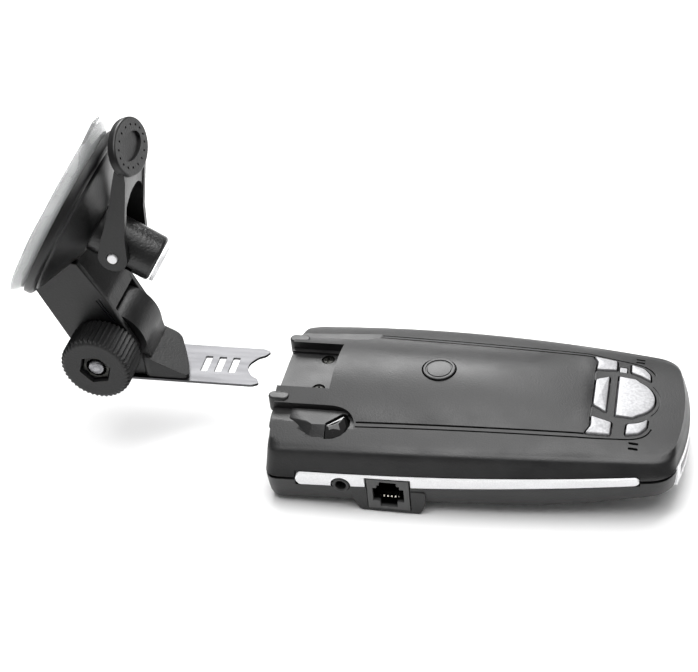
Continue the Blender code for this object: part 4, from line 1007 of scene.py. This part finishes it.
# %% Phone socket, contacts and earphone socket
face, back = -HALF_WIDTH + 0.2, -HALF_WIDTH + 14.2
socket = coarse("phone_socket", JACK_X - JACK_HALF, JACK_X + JACK_HALF, face, back, JACK_LOW, JACK_HIGH)
right = [(2.7, 1.0), (2.7, 3.2), (4.9, 3.2), (4.9, 8.4), (3.6, 8.4), (3.6, 9.6), (2.7, 9.6), (2.7, 11.0)]
mouth = [(JACK_X + u, JACK_LOW + v) for u, v in right + [(-u, v) for u, v in reversed(right)]]
cut(socket, prism("mouth", mouth, face - 3.0, back - 2.0, "Y"))
fuse(socket, coarse("contact_shelf", JACK_X - 4.2, JACK_X + 4.2, face + 3.2, back - 1.0,
                    JACK_LOW + 0.5, JACK_LOW + 4.5))
contact_places = [JACK_X + (k - 2.5) * 1.2 for k in range(6)]
cut(socket, coarse("contact_seat", JACK_X - 4.1, JACK_X + 4.1, back - 3.7, back - 2.2,
                   JACK_LOW + 2.9, JACK_LOW + 4.9),
    *[coarse("wire_slot", x - 0.3, x + 0.3, face + 1.0, back - 3.0, JACK_LOW + 3.05, JACK_LOW + 4.0)
      for x in contact_places])
finish_piece(smooth(soften(socket, 0.22, 2), 40.0), "case", jack_black, "jack_black", "phone_jack")

contacts = coarse("socket_contacts", JACK_X - 4.0, JACK_X + 4.0, back - 3.6, back - 2.3,
                  JACK_LOW + 3.6, JACK_LOW + 4.8)
wires = []
for x in contact_places:
    section = rectangle(x - 0.24, x + 0.24, JACK_LOW + 3.15, JACK_LOW + 3.9, 0.2, 4)
    wires.append(prism("wire", section, face + 2.0, back - 3.2, "Y"))
fuse(contacts, *wires)
finish_piece(smooth(contacts), "case", contact_metal, "gilt_contact", "jack_contacts")

ear_profile = [(1.75, 0.25), (2.0, 0.05), (2.4, 0.0), (2.62, 0.12), (2.7, 0.35), (2.7, 6.0), (2.4, 6.0),
               (2.4, 12.0), (0.0, 12.0), (0.0, 10.0), (1.75, 10.0)]
ear = turned("earphone_socket", ear_profile, 64)
ear.rotation_euler = (-math.pi / 2, 0.0, 0.0)
ear.location = (EARPHONE_X * MM, (-HALF_WIDTH - 0.2) * MM, EARPHONE_Z * MM)
finish_piece(smooth(ear), "case", chip_black, "jack_black", "earphone_jack")

# %% [markdown]
# ## Display end
# At the driver's end a slim silver frame holds a dark window. It follows the bowed end wall, so it comes
# from the function that cut the channels of the side strips, with an opening cut in it and its edges
# softened.

# %% Display frame and windows
bezel = side_panel("display_frame", "rear", -21.5, 21.5, SEAM - 4.0, SEAM + 3.4, 0.3, 3.0)
cut(bezel, side_panel("opening", "rear", -18.6, 18.6, SEAM - 2.4, SEAM + 1.8, 4.0, 9.0))
finish_piece(smooth(soften(bezel, 0.25, 3, 40.0), 40.0), "case", trim_silver, "silver_trim", "display_bezel")
display = side_panel("display_glass", "rear", -18.3, 18.3, SEAM - 2.1, SEAM + 1.5, -0.3, 1.4)
soften(display, 0.15, 2, 40.0)
finish_piece(smooth(display, 40.0), "case", dark_lens, "dark_lens", "display_window")
front_glass = soften(side_panel("front_glass", "front", -23.0, 23.0, 3.2, 9.0, -0.5, 1.3), 0.2, 2, 40.0)
finish_piece(smooth(front_glass, 40.0), "case", dark_lens, "dark_lens", "front_window")

# %% [markdown]
# ## Screws
# The two pocket screws and the four case screws are small turned heads with a cross recess. A cross cut
# in the head, with its edges left crisp, reads as a screw even at this size.

# %% Screws
def cross_screw(name, radius, head, shank, length):
    """Head at z = 0 facing up, shank below."""
    profile = [(0.0, 0.0), (radius * 0.6, -0.02), (radius * 0.9, -0.12), (radius, -0.3), (radius, -head),
               (shank, -head - 0.1), (shank, -length), (0.0, -length - 0.3)]
    screw = turned(name, profile, 40)
    arm, width = radius * 0.62, radius * 0.16
    return cut(screw, coarse("slot_a", -arm, arm, -width, width, -0.55, 1.0),
               coarse("slot_b", -width, width, -arm, arm, -0.55, 1.0))


for number, y in enumerate(POCKET_SCREW_SIDES, 1):
    screw = cross_screw("pocket_screw_head_%d" % number, 1.9, 0.6, 1.0, 4.0)
    screw.location = (POCKET_SCREW_X * MM, y * MM, (SEAM + 12.05) * MM)
    finish_piece(smooth(screw), "case", dark_steel, "dark_steel", "pocket_screw_%d" % number)
for number, (x, y) in enumerate(screw_places, 1):
    low = belly_z(x, BELLY_INSET)
    screw = cross_screw("case_screw_head_%d" % number, 2.5, 0.7, 1.3, seam_z(x) - low + 5.2)
    screw.rotation_euler = (math.pi, 0.0, 0.0)
    screw.location = (x * MM, y * MM, (low + 0.4) * MM)
    finish_piece(smooth(screw), "case", bolt_steel, "bright_steel", "case_screw_%d" % number)

# %% [markdown]
# ## The steel tongue
# The tongue is a stamped strap with three cross slots and a fishtail end that the latch takes hold of.
# Its outline is one polygon, mirrored, and its stamped edges are only slightly round.

# %% Tongue
KNOB_X, KNOB_Z = -119.6, 38.9
RIVET_PLACES = (-111.0, -123.5)
FORK_OUTER, FORK_INNER = 10.0, 8.0
tip, notch, half = -71.0, -76.6, 9.3
far_edge = [(-126.0, half - 1.5), (-124.5, half), (tip - 2.2, half), (tip, half - 1.2),
            (tip - 1.2, half - 3.4), (tip - 3.4, half - 4.6), (notch + 0.5, 2.2), (notch, 0.8)]
strap = prism("steel_tongue", rounded(far_edge + mirrored(far_edge), 0.8, 4), SEAM + 12.5, SEAM + 13.4)
slots = [prism("cross_slot", rectangle(x - 1.2, x + 1.2, -3.8, 3.8, 0.4, 3), 20.0, 30.0)
         for x in (-81.5, -86.2, -90.9)]
rivet_holes = [prism("rivet_hole", circle(1.9, 32, (x, 0.0)), 20.0, 30.0) for x in RIVET_PLACES]
cut(strap, *slots, *rivet_holes)
finish_piece(smooth(soften(strap, 0.14, 2), 40.0), "bracket", steel, "bright_steel", "tongue")

# %% [markdown]
# ## The foot
# The foot's barrel sits between the fork's walls on the clamp bolt, and its toe spreads forward on the
# tongue. The side view gives the barrel, the plan view gives the toe, and joining the two prisms gives
# the piece.

# %% Foot
base = SEAM + 13.4 + GAP
profile = arc((KNOB_X, KNOB_Z), 12.8, -4, 205, 60)
profile += [(KNOB_X - 8.4, base + 2.4), (KNOB_X - 8.4, base), (KNOB_X + 15.4, base)]
profile += bezier((KNOB_X + 15.4, base), (KNOB_X + 13.4, base + 5.0), profile[0], 8)
foot = prism("mount_foot", profile, -FORK_INNER + 0.3, FORK_INNER - 0.3, "Y")
toe_plan = rounded([(KNOB_X + 10.0, -8.8), (KNOB_X + 25.5, -8.8), (KNOB_X + 22.6, 0.0), (KNOB_X + 18.2, 8.8),
                    (KNOB_X + 10.0, 8.8)], 2.6, 8)
toe_top = lambda x, y: base + 7.6 - 0.52 * (x - KNOB_X - 12.4)
fuse(foot, prism("toe", toe_plan, base, toe_top))
soften(foot, 0.45, 3, 50.0)
cut(foot, prism("bolt_bore", circle(3.35, 40, (KNOB_X, KNOB_Z)), -20.0, 20.0, "Y"),
    *[prism("rivet_bore", circle(1.9, 32, (x, 0.0)), SEAM + 12.0, base + 2.0) for x in RIVET_PLACES])
finish_piece(smooth(foot, 32.0), "bracket", mount_black, "mount_black", "foot")

# %% [markdown]
# ## Clamp knob, nut and bolt
# The knob's rim has fine ribs for the fingers. Rings with rounded ribs, stacked along the bolt and drawn
# in at both ends, make them. A hexagonal pocket in its face holds the nut, and the bolt's end shows in
# the middle of the nut with its thread.

# %% Knob, nut and bolt
ribs = 44
rib_outline = []
for i in range(ribs * 6):
    phase = (i % 6) / 6.0 * math.tau
    rib_outline.append((11.27 + 0.33 * math.cos(phase), math.tau * i / (ribs * 6)))
rib_outline = [(KNOB_X + r * math.cos(a), KNOB_Z + r * math.sin(a)) for r, a in rib_outline]
near_face, far_face = -22.0, -FORK_OUTER - GAP


def ribbed(scale, y):
    return [(KNOB_X + (x - KNOB_X) * scale, y, KNOB_Z + (z - KNOB_Z) * scale) for x, z in rib_outline]


def plain_ring(radius, y):
    count = len(rib_outline)
    turn = [math.tau * i / count for i in range(count)]
    return [(KNOB_X + radius * math.cos(a), y, KNOB_Z + radius * math.sin(a)) for a in turn]


knob_rings = [
    plain_ring(6.6, near_face + 0.25), plain_ring(9.6, near_face), plain_ring(10.3, near_face + 0.08),
    ribbed(0.965, near_face + 0.5), ribbed(1.0, near_face + 1.2), ribbed(1.0, far_face - 1.0),
    ribbed(0.97, far_face - 0.2), plain_ring(9.8, far_face),
]
knob = stacked("knob", knob_rings)
cut(knob, prism("bore", circle(3.4, 48, (KNOB_X, KNOB_Z)), -40.0, 0.0, "Y"),
    prism("hex_pocket", circle(5.5, 6, (KNOB_X, KNOB_Z), 0.2), near_face - 4.0, near_face + 5.2, "Y"))
finish_piece(smooth(knob, 38.0), "knob", knob_black, "mount_black", "clamp_knob")

nut = prism("knob_nut", circle(4.9, 6, (KNOB_X, KNOB_Z), 0.2), near_face + 1.6, near_face + 4.9, "Y")
cut(nut, prism("nut_bore", circle(3.3, 48, (KNOB_X, KNOB_Z)), -40.0, 0.0, "Y"))
finish_piece(smooth(soften(nut, 0.25, 2), 40.0), "knob", dark_steel, "bright_steel", "clamp_nut")

bolt_profile = [(0.0, 0.0), (4.6, 0.05), (5.2, 0.3), (5.5, 0.9), (5.5, 2.4), (3.0, 2.4), (3.0, 20.0)]
for k in range(14):
    bolt_profile += [(3.05, 20.4 + 0.9 * k), (2.72, 20.85 + 0.9 * k)]
bolt_profile += [(2.6, 33.2), (2.2, 33.7), (0.0, 33.8)]
bolt = turned("knob_bolt", bolt_profile, 48)
bolt.rotation_euler = (math.pi / 2, 0.0, 0.0)
bolt.location = (KNOB_X * MM, (FORK_OUTER + GAP + 2.4) * MM, KNOB_Z * MM)
finish_piece(smooth(bolt, 50.0), "bracket", bolt_steel, "bright_steel", "clamp_bolt")

# %% [markdown]
# ## The forked arm and the cup
# One moulding holds the domed cup and the fork. The dome is turned about the cup's own tilted axis, with
# a bead round its rim, and the fork's two walls are flat prisms with a raised edge. A small function
# turns distances along and across the cup's axis into places in the frame.

# %% Cup axis
CUP_X, CUP_Z, CUP_RADIUS = -127.3, 84.2, 28.0
TILT = math.radians(32.0)


def cup_point(along, up):
    return (CUP_X + along * math.cos(TILT) + up * math.sin(TILT),
            CUP_Z - along * math.sin(TILT) + up * math.cos(TILT))


def on_cup_axis(obj):
    """Stands a piece that was turned about Z on the cup's axis."""
    centre = Matrix.Translation((CUP_X * MM, 0.0, CUP_Z * MM))
    obj.matrix_world = centre @ Matrix.Rotation(math.pi / 2 + TILT, 4, "Y")
    bpy.context.view_layer.update()
    obj.data.transform(obj.matrix_world)
    obj.matrix_world = Matrix.Identity(4)
    return obj


# %% Dome and fork
dome_profile = [(28.0, 0.0), (28.0, 1.6), (27.7, 2.3), (27.0, 2.8), (26.2, 3.0), (25.6, 3.1), (25.2, 3.6),
                (24.3, 4.1), (22.4, 4.9), (20.0, 5.9), (17.5, 7.0), (15.0, 8.1), (13.0, 9.0),
                (11.0, 9.9), (9.6, 10.4),
                (9.0, 10.55), (8.2, 10.5), (7.9, 10.2), (7.9, 8.0), (13.0, 6.2), (18.0, 3.9), (22.5, 2.0),
                (25.6, 1.0), (25.6, 0.0)]
arm = on_cup_axis(turned("cup_arm", dome_profile, 128))
fork_side = [cup_point(1.2, -26.0)] + arc((KNOB_X, KNOB_Z), 10.6, 197, 372, 48)
fork_side += [(-116.4, 58.2), cup_point(10.2, -9.0), cup_point(2.4, -12.0)]
web = [cup_point(3.0, -12.2), cup_point(9.6, -10.8), (-116.4, 58.4), (-114.6, 53.4), (-117.2, 53.4),
       (-119.8, 57.4), cup_point(2.6, -17.5)]
walls = []
for side in (-1, 1):
    low, high = sorted((side * FORK_INNER, side * FORK_OUTER))
    walls.append(soften(prism("fork_wall", fork_side, low, high, "Y"), 0.35, 3, 40.0))
fuse(arm, *walls, prism("web", web, -FORK_INNER - 0.5, FORK_INNER + 0.5, "Y"))
edge_low, edge_high = Vector((KNOB_X + 9.6, KNOB_Z + 4.0)), Vector((-117.4, 58.6))
edge_across = Vector((edge_high.y - edge_low.y, edge_low.x - edge_high.x)).normalized()
edge_lines = []
for inset in (1.3, 2.3):
    a, b = edge_low - edge_across * inset, edge_high - edge_across * inset
    line = [tuple(a), tuple(b), tuple(b - edge_across * 0.4), tuple(a - edge_across * 0.4)]
    edge_lines.append(prism("edge_line", line, -FORK_OUTER - 1.0, -FORK_OUTER + 0.5, "Y"))
cut(arm, prism("bore", circle(3.35, 48, (KNOB_X, KNOB_Z)), -20.0, 20.0, "Y"), *edge_lines)
finish_piece(smooth(arm, 30.0), "arm", mount_black, "mount_black", "cup_housing")

# %% [markdown]
# ## The suction pad
# The pad is a disc of clear vinyl, a little larger than the cup, with a pull tab at its top. Its rim is
# thin and slightly wavy, because soft vinyl never lies quite flat, so the turned mesh is nudged with a
# slow wave.

# %% Suction pad
pad_profile = [(0.0, -4.3), (12.0, -4.3), (20.0, -4.3), (26.0, -4.3), (28.6, -4.2), (29.6, -4.0),
               (29.85, -3.7), (29.8, -3.2), (28.8, -2.0), (27.5, -0.9), (26.2, -0.4), (25.0, -0.3),
               (12.0, -0.3),
               (0.0, -0.3)]
pad = turned("vinyl_pad", pad_profile, 128)
tab_plan = rounded([(-28.0, -4.5), (-36.5, -2.6), (-36.5, 2.6), (-28.0, 4.5)], 1.6, 6)
fuse(pad, soften(prism("pull_tab", tab_plan, -4.1, -3.0), 0.2, 2, 50.0))
for vertex in pad.data.vertices:
    reach = math.hypot(vertex.co.x, vertex.co.y) / MM   # millimetres from the pad's axis
    turn = math.atan2(vertex.co.y, vertex.co.x)
    wave = 0.16 * smooth_step((reach - 24.0) / 5.0) * (math.sin(5 * turn + 0.6) + 0.6 * math.sin(11 * turn))
    vertex.co.z += (0.16 + wave) * 0.5 * MM if reach > 24.0 else 0.0
finish_piece(smooth(on_cup_axis(pad), 40.0), "arm", clear_vinyl, "clear_pad", "suction_pad")

# %% [markdown]
# ## Stem, cap and pin
# The stem is a pebbled cylinder with rounded ends that slides through the cup. A bright disc closes its
# end, and the lever's pin crosses it. A small square pocket in its side shows where the mould's core came
# out.

# %% Stem, cap and pin
STEM_R, STEM_END, PIN_ALONG = 7.5, 31.6, 19.3
stem_profile = [(0.0, 4.2), (6.6, 4.2), (7.2, 4.8), (STEM_R, 6.0), (STEM_R, 14.0), (STEM_R, 22.0),
                (STEM_R, STEM_END - 1.1), (STEM_R - 0.15, STEM_END - 0.55),
                (STEM_R - 0.5, STEM_END - 0.15), (STEM_R - 0.9, STEM_END),
                (0.0, STEM_END)]
stem = turned("pull_stem", stem_profile, 96)
pin_bore = prism("pin_bore", circle(1.9, 32, (0.0, PIN_ALONG)), -12.0, 12.0, "Y")
core_pocket = prism("core_pocket", rectangle(2.6, 5.0, 22.8, 26.0, 0.3, 3), -8.5, -4.6, "Y")
cut(stem, pin_bore, core_pocket)
finish_piece(smooth(on_cup_axis(stem), 40.0), "stem", stem_black, "mount_black", "suction_stem")

cap_profile = [(0.0, STEM_END + GAP), (7.0, STEM_END + GAP), (7.0, STEM_END + 1.1), (6.85, STEM_END + 1.4),
               (6.5, STEM_END + 1.6), (5.9, STEM_END + 1.62), (5.6, STEM_END + 1.5), (0.0, STEM_END + 1.5)]
stem_disc = on_cup_axis(turned("stem_disc", cap_profile, 96))
finish_piece(smooth(stem_disc, 40.0), "stem", trim_silver, "silver_trim", "stem_cap")

pin_x, pin_z = cup_point(PIN_ALONG, 0.0)
pin = soften(prism("lever_pin", circle(1.6, 40, (pin_x, pin_z)), -10.6, 10.6, "Y"), 0.3, 3)
finish_piece(smooth(pin, 40.0), "stem", trim_silver, "bright_steel", "pivot_pin")

# %% [markdown]
# ## The lever
# Two arms rise from the pin to a cross plate with an arch in it, and an oval finger tab leans back over
# the cup. The tab's face has an oval hollow, ringed by small dimples for grip. The hollow and the dimples
# are cut into the tab before it is turned into place.

# %% Lever
side_view = arc((pin_x, pin_z), 4.7, 150, 355, 30)
side_view += [(pin_x + 5.4, pin_z + 8.0), (pin_x + 9.4, pin_z + 27.4), (pin_x + 9.6, pin_z + 30.4),
              (pin_x + 8.6, pin_z + 32.6), (pin_x + 6.6, pin_z + 31.4), (pin_x + 5.4, pin_z + 28.0)]
side_view += bezier((pin_x + 5.4, pin_z + 28.0), (pin_x + 0.6, pin_z + 12.0), (pin_x - 4.0, pin_z + 4.4), 6)
plate = [(pin_x + 3.7, pin_z + 11.0), (pin_x + 5.6, pin_z + 11.0), (pin_x + 9.2, pin_z + 28.2),
         (pin_x + 9.3, pin_z + 31.4), (pin_x + 7.2, pin_z + 31.4), (pin_x + 6.4, pin_z + 28.6)]
arch = rounded([(-7.9, pin_z + 6.0), (7.9, pin_z + 6.0), (7.9, pin_z + 16.5), (3.2, pin_z + 20.6),
                (-3.2, pin_z + 20.6), (-7.9, pin_z + 16.5)], 2.4, 6)

finger_tab = prism("finger_tab", ellipse(8.0, 11.5, 72), -1.3, 1.3)
soften(finger_tab, 0.6, 4)
hollow = prism("hollow", ellipse(3.4, 7.0, 48), 0.5, 3.0)
dimples = []
for i in range(16):
    a = math.tau * (i + 0.5) / 16
    dimples.append(prism("dimple", circle(0.42, 12, (5.5 * math.cos(a), 9.0 * math.sin(a))), 0.85, 3.0))
cut(finger_tab, hollow, *dimples)
finger_tab.data.transform(Matrix.Translation(((pin_x + 8.2) * MM, 0.0, (pin_z + 34.0) * MM))
                          @ Matrix.Rotation(math.radians(73.0), 4, "Y"))

lever = prism("mount_lever", side_view, -FORK_OUTER, -FORK_OUTER + 1.8, "Y")
fuse(lever, prism("far_side", side_view, FORK_OUTER - 1.8, FORK_OUTER, "Y"),
     prism("plate", plate, -FORK_OUTER + 0.9, FORK_OUTER - 0.9, "Y"))
soften(lever, 0.35, 3, 45.0)
fuse(lever, finger_tab)
cut(lever, prism("arch", arch, pin_x, pin_x + 12.0, "X"),
    prism("pin_bore", circle(1.9, 40, (pin_x, pin_z)), -20.0, 20.0, "Y"))
finish_piece(smooth(lever, 32.0), "lever", mount_black, "mount_black", "suction_lever")

# %% [markdown]
# ## Floor, light and camera
# A pale seamless floor and three soft area lights are enough for a product view. A wide overhead light
# whitens the floor and keeps its shadows faint, a light behind gives the sheen on the crowned panel, and
# a narrow strip above the near side draws the bright line along the shoulder.

# %% Floor and lights
floor_mesh = bpy.data.meshes.new("floor")
floor_mesh.from_pydata([(-3, -3, 0), (3, -3, 0), (3, 3, 0), (-3, 3, 0)], [], [(0, 1, 2, 3)])
floor = bpy.data.objects.new("floor", floor_mesh)
bpy.context.scene.collection.objects.link(floor)
floor_mat, floor_nodes, floor_links, floor_shader, floor_place = start_material("floor_paper")
floor_cloud = noise(floor_nodes, floor_links, floor_place, 3.0)
floor_tint = ramp(floor_nodes, floor_links, floor_cloud, (0.92, 0.92, 0.92), (0.94, 0.94, 0.94))
floor_links.new(floor_tint, floor_shader.inputs["Base Color"])
floor_shader.inputs["Roughness"].default_value = 0.9
floor_shader.inputs["Specular IOR Level"].default_value = 0.1
floor.data.materials.append(floor_mat)


def area_light(name, place, aim, size, size_y, power):
    data = bpy.data.lights.new(name, "AREA")
    data.shape, data.size, data.size_y, data.energy = "RECTANGLE", size, size_y, power
    lamp = bpy.data.objects.new(name, data)
    bpy.context.scene.collection.objects.link(lamp)
    lamp.location = place
    lamp.rotation_euler = (Vector(aim) - Vector(place)).to_track_quat("-Z", "Y").to_euler()


middle = (-0.03, 0.0, 0.03)
area_light("overhead_light", (0.05, 0.05, 1.05), middle, 1.3, 1.1, 11.0)
area_light("sheen_light", (-0.25, 0.74, 0.62), middle, 0.70, 0.34, 8.5)
area_light("strip_light", (0.0, -0.03, 0.85), middle, 0.90, 0.10, 3.2)
world = bpy.data.worlds.new("studio")
world.use_nodes = True
world.node_tree.nodes["Background"].inputs["Color"].default_value = (1.0, 1.0, 1.0, 1.0)
world.node_tree.nodes["Background"].inputs["Strength"].default_value = 0.26
bpy.context.scene.world = world
bpy.context.scene.view_settings.view_transform = "Standard"

# %% [markdown]
# ## The camera
# The view is from above the near side, through a short telephoto lens, which keeps the perspective
# gentle. The camera is set by its azimuth, elevation and roll, which is easier to adjust than a matrix.

# %% Camera
azimuth, elevation, roll = math.radians(16.0), math.radians(37.6), math.radians(-6.4)
side_axis = Vector((math.cos(azimuth), math.sin(azimuth), 0.0))
lift_axis = Vector((-math.sin(azimuth) * math.sin(elevation), math.cos(azimuth) * math.sin(elevation),
                    math.cos(elevation)))
look = Vector((-math.sin(azimuth) * math.cos(elevation), math.cos(azimuth) * math.cos(elevation),
               -math.sin(elevation)))
right_axis = side_axis * math.cos(roll) + lift_axis * math.sin(roll)
up_axis = -side_axis * math.sin(roll) + lift_axis * math.cos(roll)
camera_data = bpy.data.cameras.new("camera")
camera_data.sensor_width, camera_data.lens = 36.0, 76.07
camera = bpy.data.objects.new("camera", camera_data)
bpy.context.scene.collection.objects.link(camera)
distance, shift_left, shift_up = 472.0, 43.1, 24.95
place = (-look * distance - right_axis * shift_left + up_axis * shift_up + Vector((0.0, 0.0, SEAM))) * MM
turn = Matrix((right_axis, up_axis, -look)).transposed().to_4x4()
camera.matrix_world = Matrix.Translation(place) @ turn
bpy.context.scene.camera = camera
print("camera at", tuple(round(v, 4) for v in place))

# %% Count the pieces and finish
print("pieces made:", len(made))
